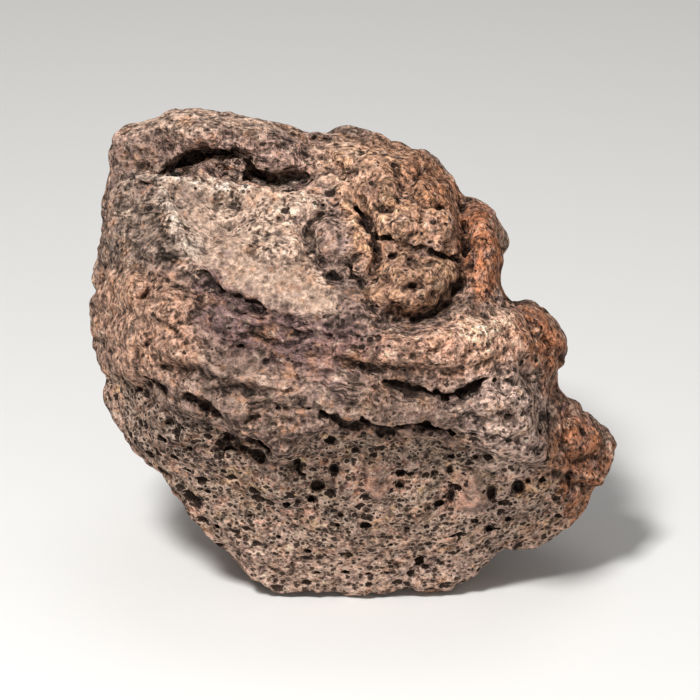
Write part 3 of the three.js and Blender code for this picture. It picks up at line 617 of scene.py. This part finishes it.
# Open cracks, hollows and holes
wobble = 1.2 * (probe2["fine"] - 0.5) + 0.8 * (probe2["lump"] - 0.09)
carved = base_s.copy()
into = np.clip(-base_s, 0, None)
for line, width, depth, climb, _ in SLOTS:
    pick = np.nonzero((front > 0.05) & (into < depth + 1) & (a > min(q[0] for q in line) - 4) & (a < max(q[0] for q in line) + 4) & (b > min(q[1] for q in line) - 4) & (b < max(q[1] for q in line) + depth * climb + 4))[0]
    u, v, w = bent_a[pick], bent_b[pick] - climb * into[pick], into[pick]
    d, _, along = to_line(line, u, v)
    taper = np.sqrt(np.clip(4 * along * (1 - along) * 1.6 + 0.05, 0, 1))
    ragged = lerp(0.2, 0.62, step(1.2, 1.8, width)) + 1.05 * step(0.38, 0.64, probe2["rag"][pick]) + 0.9 * wobble[pick]
    room = width * taper * np.sqrt(np.clip(1 - (w / depth) ** 2, 0, 1)) * ragged
    carved[pick] = np.maximum(carved[pick], room - d)

# The hollow under the slab, and the stone lodged in it
def lodged(a, b, into):
    return np.sqrt(((a + 35.2) / 8.0) ** 2 + ((b - 48.9) / 4.7) ** 2 + ((into - 2.2) / 4.6) ** 2) * 3.6 - 3.6


pick = np.nonzero((a > -60) & (a < 0) & (b > 38) & (b < 62) & (c > 4) & (front > 0.02))[0]
d, _, along = to_line(POCKET_LINE, bent_a[pick], bent_b[pick])
room = 1.5 * np.sqrt(np.clip(4 * along * (1 - along) * 1.5, 0, 1)) * (0.55 + 0.9 * step(0.35, 0.65, probe2["rag"][pick]) + 0.5 * wobble[pick])
carved[pick] = np.maximum(carved[pick], np.minimum(room - d, 3.8 - into[pick]))
stone = lodged(a[pick], b[pick], into[pick]) - 0.9 * wobble[pick]
carved[pick] = np.minimum(carved[pick], stone)
for u, v, wide, tall, deep in BIG_HOLES:
    pick = np.nonzero((np.abs(a - u) < wide + 1.5) & (np.abs(b - v) < tall + 1.5) & (front > 0.1) & (into < deep + 1))[0]
    r = np.sqrt(((a[pick] - u + 0.5 * wobble[pick]) / wide) ** 2 + ((b[pick] - v - 0.5 * wobble[pick]) / tall) ** 2 + (into[pick] / deep) ** 2)
    carved[pick] = np.maximum(carved[pick], (1 - r) * min(wide, tall))
carved = np.maximum(carved, probe2["holes"] * step(0.4, -0.4, base_s - 0.4))
# The underside stays on its resting surface.
carved = np.maximum(carved, -at_mm[:, 2])

volume = np.where(solid > 0, np.float32(3.0), np.float32(-3.0))
volume[band] = np.clip(carved, -3.0, 3.0)
del solid

# Thin spurs and needles wear away, more on the sides and the back
keep = np.full(shape, 0.22, np.float32)
keep[band] = lerp(0.22, 0.62, step(0.25, 0.7, facing) * front)
volume = np.maximum(volume, blur(volume, 2.0) - keep)
del keep
volume = blur(volume, 0.7)
grid = vdb.FloatGrid(3.0)
grid.transform = vdb.createLinearTransform(voxelSize=VOXEL)
grid.copyFromArray(volume, ijk=tuple(int(v) for v in low))
points, quads = grid.convertToQuads(isovalue=0.0)
del grid


def hollows(volume, sigma):
    """How far a carved surface stands out of its surroundings: positive on ridges, negative in hollows."""
    return blur(np.clip(volume, -2.0, 2.0), sigma)


ridge_small = hollows(volume, 2.4)
ridge_large = hollows(volume[::2, ::2, ::2], 3.2)


def sample(volume, ijk):
    """A volume's values between its points."""
    ijk = np.clip(ijk, 0, np.array(volume.shape) - 1.001)
    i = ijk.astype(np.int32)
    f = (ijk - i).astype(np.float32)
    total = 0
    for dx in (0, 1):
        for dy in (0, 1):
            for dz in (0, 1):
                weight = (f[:, 0] if dx else 1 - f[:, 0]) * (f[:, 1] if dy else 1 - f[:, 1]) * (f[:, 2] if dz else 1 - f[:, 2])
                total = total + weight * volume[i[:, 0] + dx, i[:, 1] + dy, i[:, 2] + dz]
    return total


def keep_largest(count, edges):
    """The vertices of the largest connected piece."""
    parent = np.arange(count)
    while True:
        lowest = np.minimum(parent[edges[:, 0]], parent[edges[:, 1]])
        new = parent.copy()
        np.minimum.at(new, parent[edges[:, 0]], lowest)
        np.minimum.at(new, parent[edges[:, 1]], lowest)
        while True:
            jumped = new[new]
            if (jumped == new).all():
                break
            new = jumped
        if (new == parent).all():
            return parent == np.bincount(parent).argmax()
        parent = new


quads = quads[:, ::-1].astype(np.int64)
good = keep_largest(len(points), np.concatenate([quads[:, :2], quads[:, 1:3], quads[:, 2:4]]))
quads = quads[good[quads[:, 0]]]
index = np.cumsum(good) - 1
points, quads = points[good], index[quads]

mesh = bpy.data.meshes.new("lava_stone_fine")
mesh.vertices.add(len(points))
mesh.vertices.foreach_set("co", (points / 1000).astype(np.float32).ravel())
mesh.loops.add(len(quads) * 4)
mesh.loops.foreach_set("vertex_index", quads.astype(np.int32).ravel())
mesh.polygons.add(len(quads))
mesh.polygons.foreach_set("loop_start", np.arange(0, len(quads) * 4, 4, dtype=np.int32))
mesh.update()
mesh.validate()
fine = bpy.data.objects.new("lava_stone_fine", mesh)
scene.collection.objects.link(fine)
thin = fine.modifiers.new("thin", "DECIMATE")
thin.ratio = TRIANGLES / (2 * len(quads))
stone_mesh = bpy.data.meshes.new_from_object(fine.evaluated_get(bpy.context.evaluated_depsgraph_get()))
stone_mesh.name = "lava_stone"
bpy.data.objects.remove(fine)
bpy.data.meshes.remove(mesh)
stone = bpy.data.objects.new("lava_stone", stone_mesh)
scene.collection.objects.link(stone)
stone_mesh.polygons.foreach_set("use_smooth", np.ones(len(stone_mesh.polygons), bool))

# ---- zones at the mesh's points, for the material ----
# painted highlight: a pale patch on the lit top of the shelf and a weaker one on a lit top at the knob's upper left
painted_highlight = np.clip(1 - ((ga - 34.5) / 11) ** 2 - ((gb - 7.8) / 5) ** 2, 0, 1) + 0.5 * np.clip(1.5 - 1.5 * ((ga + 4) / 10) ** 2 - 1.5 * ((gb - 51) / 8) ** 2, 0, 1)
tone_and_painted_light = np.ones_like(ga)
for u, v, wide, tall, more in TONE_AND_PAINTED_LIGHT:
    tone_and_painted_light += more * np.exp(-(((ga - u) / wide) ** 2) - ((gb - v) / tall) ** 2)
ember = np.clip(1.9 * np.exp(-(((ga - 24.5) / 8.5) ** 2) - ((gb - 48.0) / 9) ** 2), 0, 1)
in_pocket = step(7, 4, to_line(POCKET_LINE, ga, gb)[0]).astype(np.float32)
shade = np.clip(2 - 2 * ((ga + 49) / 18) ** 2 - 2 * ((gb + 17) / 12) ** 2, 0, 1)
# painted highlight along the fold's ridge and along the ledge's lip
pale_d, _, pale_along = to_line(FOLD, ga, gb)
pale = np.exp(-((pale_d / 2.6) ** 2)) * step(0, 0.1, pale_along) * step(1, 0.85, pale_along)
pale_d, _, pale_along = to_line(LEDGE, ga, gb)
pale = np.maximum(pale, 0.8 * np.exp(-((pale_d / 1.5) ** 2)) * step(0, 0.1, pale_along) * step(1, 0.9, pale_along)).astype(np.float32)
count = len(stone_mesh.vertices)
points = np.empty(count * 3, np.float32)
stone_mesh.vertices.foreach_get("co", points)
points = points.reshape(-1, 3)
# The solid's smooth distance and slope at each vertex
points[:, 2] = np.maximum(points[:, 2], 0)
stone_mesh.vertices.foreach_set("co", points.ravel())
place = points * 1000 / VOXEL - low
ijk = np.clip(np.round(place).astype(int), 0, np.array(shape) - 1)
lookup = np.full(shape, -1, np.int32)
lookup[band] = np.arange(len(s), dtype=np.int32)
near = lookup[tuple(ijk.T)]
near = np.where(near < 0, 0, near)
pa, pb, pc = to_plane(points * 1000)
vfront = front[near]
vfound = probe(points, {**patches, **warps})
vzones = spread(zone, pa + vfound["wa"], pb + vfound["wb"], vfront, vfound)
marks = {
    "porous": hole_density(vzones),
    "tone_and_painted_light": lerp(1.0, at(tone_and_painted_light.astype(np.float32), pa + 0.5 * vfound["wa"], pb + 0.5 * vfound["wb"]), vfront),
    "ember": at(ember.astype(np.float32), pa + 0.6 * vfound["wa"], pb + 0.6 * vfound["wb"]) * step(0, 0.4, vfront),
    # sunk carries painted shade: near black where the surface is sunk below the outer one and hollow, less in the
    # hollow under the slab
    "sunk": np.clip(-base_s[near] / 3.0, 0, 1) * step(0.2, 1.2, lodged(pa, pb, -base_s[near])) * (1 - 0.6 * at(in_pocket, pa, pb) * vfront),  # how far below the outer surface
    # the slab's upper part takes the pale tan and its lower part, toward the hollow under it, the darker mauve: partly
    # its own colours, partly painted light on its lit top and painted shade on its shaded underside
    "tan": np.clip(vzones["panel"] + 0.8 * vzones["slab"] * step(56.5, 61.5, pb + 0.5 * vfound["wb"]), 0, 1),
    "mauve_and_shade": np.clip(vzones["slab"] * step(60.5, 55.5, pb + 0.5 * vfound["wb"]), 0, 1),
    "rust": np.clip(vzones["lobe"] + vzones["endknob"] + vzones["flank"] * 0.9 + 0.12 * vzones["shelf"], 0, 1),
    "gold": np.clip(vzones["knob"] + 0.4 * vzones["bulge"], 0, 1),
    "purple": np.clip(vzones["purple"], 0, 1),
    "grey": np.clip(vzones["facet"], 0, 1),
    "mass": np.clip(vzones["mass"], 0, 1),
    "painted_highlight": at(painted_highlight.astype(np.float32), pa + 0.6 * vfound["wa"], pb + 0.6 * vfound["wb"]) * vfront,
    "shade": at(shade.astype(np.float32), pa + vfound["wa"], pb + vfound["wb"]) * vfront,
    "pale": at(pale, pa + 0.4 * vfound["na"], pb + 0.4 * vfound["nb"]) * vfront,
    # painted light: paler towards the bottom of the front
    "low": (step(-36, -58, pb) * vfront).astype(np.float32),
    "lower": np.clip(vzones["lower"], 0, 1),
    "pink": np.clip(vzones["shelf"] + 0.8 * vzones["bulge"], 0, 1),
    "sleek": np.clip(vzones["sleek"], 0, 1),
    "strata": layers(points * 1000, pa + vfound["na"], pb + vfound["nb"], vfront),
    "ridge": np.clip(sample(ridge_small, place) / 0.45, -1, 1),
    "rise": np.clip(sample(ridge_large, place / 2) / 0.7, -1, 1),
}
for name, values in marks.items():
    stone_mesh.attributes.new(name, "FLOAT", "POINT").data.foreach_set("value", np.ascontiguousarray(values, np.float32))
del lookup, volume, ridge_small, ridge_large

# ---- the stone's material ----
material = bpy.data.materials.new("scoria")
material.use_nodes = True
tree = material.node_tree
tree.nodes.clear()
t = Tree(tree)
shader = t.put("ShaderNodeBsdfPrincipled", [("Roughness", 0.9), ("Specular IOR Level", 0.12)])
t.put("ShaderNodeOutputMaterial", [(0, shader.outputs[0])])
position = t.put("ShaderNodeTexCoord").outputs["Object"]
p = mm(t, position)


def mark(name):
    return t.put("ShaderNodeAttribute", attribute_name=name, attribute_type="GEOMETRY").outputs["Fac"]


def mix(amount, one, two, blend="MIX"):
    node = t.put("ShaderNodeMix", data_type="RGBA", blend_type=blend, clamp_factor=True)
    for socket, value in ((node.inputs[0], amount), (node.inputs[6], one), (node.inputs[7], two)):
        if isinstance(value, bpy.types.NodeSocket):
            tree.links.new(value, socket)
        elif isinstance(value, tuple):
            socket.default_value = (*value, 1.0)
        else:
            socket.default_value = value
    return node.outputs[2]


BASE = (0.215, 0.140, 0.112)
TAN = (0.50, 0.345, 0.26)
RUST = (0.31, 0.115, 0.052)
GOLD = (0.41, 0.225, 0.135)
PURPLE_BROWN = (0.15, 0.088, 0.084)
GREY = (0.20, 0.142, 0.11)
OLIVE = (0.285, 0.200, 0.148)
PINK = (0.56, 0.34, 0.245)
MAUVE_AND_SHADE = (0.31, 0.195, 0.155)

wide = t.noise(p, 14.0, 4.0, 0.6)
mid = t.noise(p, 4.2, 4.0, 0.62)
color = mix(t.span(wide, 0.35, 0.65), BASE, (0.275, 0.18, 0.14))
color = mix(t.math("MULTIPLY", mark("lower"), 0.85), color, mix(t.span(wide, 0.38, 0.62), OLIVE, (0.27, 0.175, 0.14)))
color = mix(t.math("MULTIPLY", mark("lower"), t.span(t.noise(t.vec("ADD", p, (0.0, 0.0, 512.0)), 8.0, 4.0, 0.65), 0.46, 0.60, 0.0, 0.75)), color, (0.44, 0.235, 0.165))
color = mix(t.math("MULTIPLY", mark("lower"), t.span(t.noise(t.vec("ADD", p, (0.0, 612.0, 0.0)), 5.0, 4.0, 0.65), 0.54, 0.66, 0.0, 0.75)), color, (0.50, 0.315, 0.17))
color = mix(t.math("MULTIPLY", mark("pink"), 0.75), color, mix(t.span(mid, 0.4, 0.62), PINK, (0.38, 0.21, 0.145)))
color = mix(t.math("MULTIPLY", mark("gold"), 0.75), color, mix(t.span(mid, 0.42, 0.6), GOLD, (0.35, 0.19, 0.125)))
color = mix(t.math("MULTIPLY", mark("grey"), 0.85), color, GREY)
color = mix(t.math("MULTIPLY", mark("mass"), 0.75), color, (0.43, 0.30, 0.245))
# painted light, paler towards the bottom, standing in for the light that reaches the underside
color = mix(t.math("MULTIPLY", mark("low"), 0.7), color, (0.40, 0.265, 0.21))
color = mix(t.math("MULTIPLY", mark("tan"), t.span(mid, 0.3, 0.55, 0.55, 1.0)), color, TAN)
# mauve on the slab's lower part, partly its own colour, partly painted shade on the underside
color = mix(t.math("MULTIPLY", mark("mauve_and_shade"), 0.85), color, MAUVE_AND_SHADE)
color = mix(t.math("MULTIPLY", mark("purple"), 0.85), color, PURPLE_BROWN)
color = mix(t.math("MULTIPLY", mark("rust"), t.span(mid, 0.35, 0.6, 0.5, 0.95)), color, RUST)
# painted highlight on the lit top of the shelf and at the knob's upper left
color = mix(t.math("MULTIPLY", mark("painted_highlight"), 0.85), color, (0.72, 0.45, 0.315))
color = mix(t.math("MULTIPLY", mark("shade"), 0.7), color, (0.17, 0.115, 0.092))
# painted highlight: pale gold on the knob's ridges
color = mix(t.math("MULTIPLY", mark("gold"), t.math("MULTIPLY", t.span(mark("ridge"), 0.45, 0.95, 0.0, 0.5), t.span(wide, 0.42, 0.60))), color, (0.58, 0.33, 0.18))
color = mix(t.math("MULTIPLY", mark("ember"), t.span(mid, 0.36, 0.58, 0.35, 0.9)), color, (0.36, 0.155, 0.078))
# stains of rust and of golden weathering anywhere
for shift, size, lo, hi, amount, tint in [
    ((60.0, 3.0, 0.0), 9.0, 0.52, 0.70, 0.55, (0.37, 0.18, 0.09)),
    ((10.0, 93.0, 0.0), 5.0, 0.54, 0.68, 0.60, (0.17, 0.115, 0.105)),
    ((0.0, 41.0, 77.0), 3.6, 0.55, 0.68, 0.60, (0.50, 0.36, 0.27)),
    ((29.0, 0.0, 55.0), 3.0, 0.56, 0.68, 0.50, (0.36, 0.16, 0.075)),
    ((5.0, 15.0, 155.0), 2.6, 0.57, 0.70, 0.60, (0.16, 0.085, 0.062)),
]:
    stain = t.span(t.noise(t.vec("ADD", p, shift), size, 4.0, 0.64), lo, hi)
    color = mix(t.math("MULTIPLY", stain, amount), color, tint)

# painted highlight, pale, along the fold's ridge and the ledge's lip
color = mix(t.math("MULTIPLY", mark("pale"), t.span(mid, 0.40, 0.58, 0.25, 0.9)), color, (0.60, 0.47, 0.38))

# fine texture: grains stand pale over dark seams between them, more in some patches than in others
sleek = mark("sleek")
ridge = mark("ridge")
rise = mark("rise")
grit = t.noise(p, 1.1, 3.0, 0.62)
coarse = t.noise(p, 2.4, 2.0, 0.6)
grains = t.cells(t.vec("ADD", p, t.vec("SCALE", t.noise(p, 0.9, 1.0, 0.5, color=True), scale=0.55)), 1.25, mess=1.0).outputs["Distance"]
seam = t.math("ABSOLUTE", t.math("SUBTRACT", t.noise(p, 3.1, 1.0, 0.5), 0.5))
split = t.put("ShaderNodeSeparateXYZ", [(0, p)])
streak_at = t.put("ShaderNodeCombineXYZ", [(0, t.math("MULTIPLY", split.outputs[0], 0.10)), (1, t.math("MULTIPLY", split.outputs[1], 0.25)), (2, mark("strata"))]).outputs[0]
streak = t.noise(streak_at, 2.1, 3.0, 0.62)
streaky = t.math("MULTIPLY", t.math("SUBTRACT", 1.0, mark("lower")), t.math("SUBTRACT", 1.0, t.math("MULTIPLY", t.math("MAXIMUM", mark("gold"), mark("tan")), 0.8)))
streaky = t.math("MULTIPLY", streaky, t.math("MULTIPLY", t.span(t.noise(t.vec("ADD", p, (0.0, 0.0, 300.0)), 6.5, 2.0, 0.5), 0.42, 0.60, 0.25, 1.1), t.math("SUBTRACT", 1.0, t.math("MULTIPLY", mark("pink"), 0.45))))
patchy = t.span(t.noise(p, 6.0, 2.0, 0.5), 0.36, 0.64, 0.55, 1.25)
tone = t.math("MULTIPLY", t.math("MULTIPLY", t.math("SUBTRACT", grit, 0.5), t.span(sleek, 0.0, 1.0, 7.4, 4.4, smooth=False)), t.math("MULTIPLY", patchy, t.math("SUBTRACT", 1.0, t.math("MULTIPLY", mark("purple"), 0.35))))
tone = t.math("ADD", tone, t.math("MULTIPLY", t.math("SUBTRACT", 0.50, grains), t.math("MULTIPLY", t.span(sleek, 0.0, 1.0, 2.1, 1.1, smooth=False), patchy)))
tone = t.math("ADD", tone, t.math("MULTIPLY", t.math("SUBTRACT", coarse, 0.5), t.math("MULTIPLY_ADD", t.math("MAXIMUM", mark("lower"), mark("gold")), 1.7, t.span(sleek, 0.0, 1.0, 6.4, 3.2, smooth=False))))
tone = t.math("ADD", tone, t.math("MULTIPLY", t.math("SUBTRACT", seam, 0.07), 1.8))
tone = t.math("ADD", tone, t.math("MULTIPLY", t.math("SUBTRACT", streak, 0.5), t.math("MULTIPLY_ADD", streaky, t.math("MULTIPLY_ADD", mark("purple"), 4.5, 6.2), 0.5)))
lines = t.math("MULTIPLY", t.span(t.math("ABSOLUTE", t.math("SUBTRACT", t.noise(streak_at, 4.6, 2.0, 0.55), 0.5)), 0.030, 0.004), t.span(t.noise(t.vec("ADD", p, (0.0, 0.0, 40.0)), 9.0, 2.0, 0.5), 0.40, 0.56))
tone = t.math("SUBTRACT", tone, t.math("MULTIPLY", lines, t.math("MULTIPLY", streaky, 1.5)))
# painted shade in hollows and painted highlight on ridges, from how far the carved surface stands out of its
# surroundings
tone = t.math("ADD", tone, t.span(ridge, -0.9, 0.0, -0.95, 0.0, smooth=False))
tone = t.math("ADD", tone, t.span(ridge, 0.0, 0.9, 0.0, 0.26, smooth=False))
tone = t.math("ADD", tone, t.span(rise, -0.9, 0.0, -0.60, 0.0, smooth=False))
tone = t.math("ADD", tone, t.span(rise, 0.0, 0.9, 0.0, 0.15, smooth=False))
tone = t.math("ADD", tone, t.math("MULTIPLY", t.math("SUBTRACT", t.noise(t.vec("ADD", p, (700.0, 0.0, 0.0)), 15.0, 3.0, 0.6), 0.5), t.math("MULTIPLY_ADD", mark("lower"), 1.7, 0.7)))
# the palest grains level off
gain = t.math("EXPONENT", tone)
gain = t.math("MULTIPLY", gain, t.math("DIVIDE", 2.7, t.math("ADD", 1.7, gain)))
# painted light and shade, together with the front's own paler and darker tones, scale the colour here
color = t.vec("SCALE", color, scale=t.math("MULTIPLY", gain, mark("tone_and_painted_light")))
color = t.vec("MINIMUM", color, (0.86, 0.76, 0.68))
# gas holes get painted shade, near black, with a pale rim
density_mark = mark("porous")
inside = holes(t, p, density_mark, CARVED)
inside_small = holes(t, p, density_mark, (0,))
tiny_cell = t.cells(t.vec("ADD", p, t.vec("SCALE", t.noise(p, 1.2, 1.0, 0.5, color=True), scale=0.8)), 1.3, mess=1.0)
tiny_chance = t.put("ShaderNodeSeparateXYZ", [(0, tiny_cell.outputs["Color"])])
tiny_radius = t.math("MULTIPLY", t.math("MULTIPLY_ADD", tiny_chance.outputs[0], 0.28, 0.20), t.math("MULTIPLY", t.math("SUBTRACT", t.math("MULTIPLY_ADD", density_mark, 0.25, 0.42), tiny_chance.outputs[1]), 8.0, clamp=True))
tiny_inside = t.math("SUBTRACT", tiny_radius, t.math("MULTIPLY", tiny_cell.outputs["Distance"], 1.3))
tiny_inside = t.math("SUBTRACT", tiny_inside, t.math("MULTIPLY", sleek, 0.3))
nearest = t.math("MAXIMUM", inside, inside_small)
rim = t.math("MULTIPLY", t.span(nearest, -0.45, -0.14), t.span(nearest, 0.0, -0.14))
color = mix(t.math("MULTIPLY", rim, t.math("MULTIPLY", t.math("MULTIPLY", t.span(coarse, 0.35, 0.62, 0.25, 0.85), t.math("MULTIPLY_ADD", mark("lower"), 0.75, 0.25)), t.math("SUBTRACT", 1.0, t.math("MULTIPLY", mark("rust"), 0.7)))), color, (0.62, 0.47, 0.365))
dark = t.math("MAXIMUM", t.span(inside, -0.15, 0.05), t.math("MULTIPLY", t.span(tiny_inside, -0.05, 0.10), 0.80))
dark = t.math("MAXIMUM", dark, t.math("MULTIPLY", t.span(inside_small, -0.08, 0.22), 0.92))
# painted shade, near black, in hollows sunk below the outer surface
dark = t.math("MAXIMUM", dark, t.math("MULTIPLY", t.math("MULTIPLY", t.span(mark("sunk"), 0.30, 0.95), t.span(ridge, 0.35, -0.15)), 0.9))
color = mix(t.math("MULTIPLY", dark, 0.93), color, (0.026, 0.0155, 0.012))
tree.links.new(color, shader.inputs["Base Color"])

height = t.math("MULTIPLY", grit, 1.5)
height = t.math("ADD", height, t.math("MULTIPLY", coarse, 1.6))
height = t.math("SUBTRACT", height, t.math("MULTIPLY", grains, 0.45))
height = t.math("SUBTRACT", height, t.math("MULTIPLY", t.math("MULTIPLY", lines, streaky), 0.5))
height = t.math("ADD", height, t.math("MULTIPLY", t.math("MULTIPLY", streak, streaky), 0.9))
height = t.math("SUBTRACT", height, t.math("MULTIPLY", t.span(tiny_inside, -0.08, 0.1), 0.5))
height = t.math("SUBTRACT", height, t.math("MULTIPLY", t.span(inside_small, -0.12, 0.5), 0.9))
bump = t.put("ShaderNodeBump", [("Strength", 1.0), ("Distance", 0.0014), ("Height", height)])
tree.links.new(bump.outputs[0], shader.inputs["Normal"])
stone_mesh.materials.clear()
stone_mesh.materials.append(material)

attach(stone, "root")
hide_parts("lava_rock")

# ---- floor, lights and camera ----
floor_mesh = bpy.data.meshes.new("floor")
size = 2.5
floor_mesh.from_pydata([(-size, -size, 0), (size, -size, 0), (size, size, 0), (-size, size, 0)], [], [(0, 1, 2, 3)])
floor = bpy.data.objects.new("floor", floor_mesh)
scene.collection.objects.link(floor)
pale = bpy.data.materials.new("pale_floor")
pale.use_nodes = True
pale.node_tree.nodes["Principled BSDF"].inputs["Base Color"].default_value = (0.72, 0.71, 0.69, 1)
pale.node_tree.nodes["Principled BSDF"].inputs["Roughness"].default_value = 0.8
floor_mesh.materials.append(pale)

world = bpy.data.worlds.new("studio")
scene.world = world
world.use_nodes = True
world.node_tree.nodes["Background"].inputs[0].default_value = (1, 1, 1, 1)
world.node_tree.nodes["Background"].inputs[1].default_value = 0.27


def light(name, place, target, size, power, color=(1, 1, 1)):
    data = bpy.data.lights.new(name, "AREA")
    data.shape = "SQUARE"
    data.size = size
    data.energy = power
    data.color = color
    thing = bpy.data.objects.new(name, data)
    thing.location = place
    thing.rotation_euler = (Vector(target) - Vector(place)).to_track_quat("-Z", "Y").to_euler()
    scene.collection.objects.link(thing)
    return thing


middle = (0, 0, 0.06)
light("key", (-0.30, -0.66, 0.98), middle, 0.20, 17.5)
light("fill", (0.5, -1.2, 0.22), middle, 0.7, 3.6)
light("top", (0.15, 0.20, 1.2), middle, 0.6, 1.8)

scene.view_settings.view_transform = "Standard"
camera_data = bpy.data.cameras.new("camera")
camera = bpy.data.objects.new("camera", camera_data)
scene.collection.objects.link(camera)
elevation = LEAN
distance = 1.0
target = Vector((0.0, 0.0, 0.0615))
camera.location = target + Vector((0, -math.cos(elevation), math.sin(elevation))) * distance
camera.rotation_euler = (target - camera.location).to_track_quat("-Z", "Y").to_euler()
camera_data.lens = 190
camera_data.sensor_width = 36
camera_data.clip_start = 0.01
scene.camera = camera
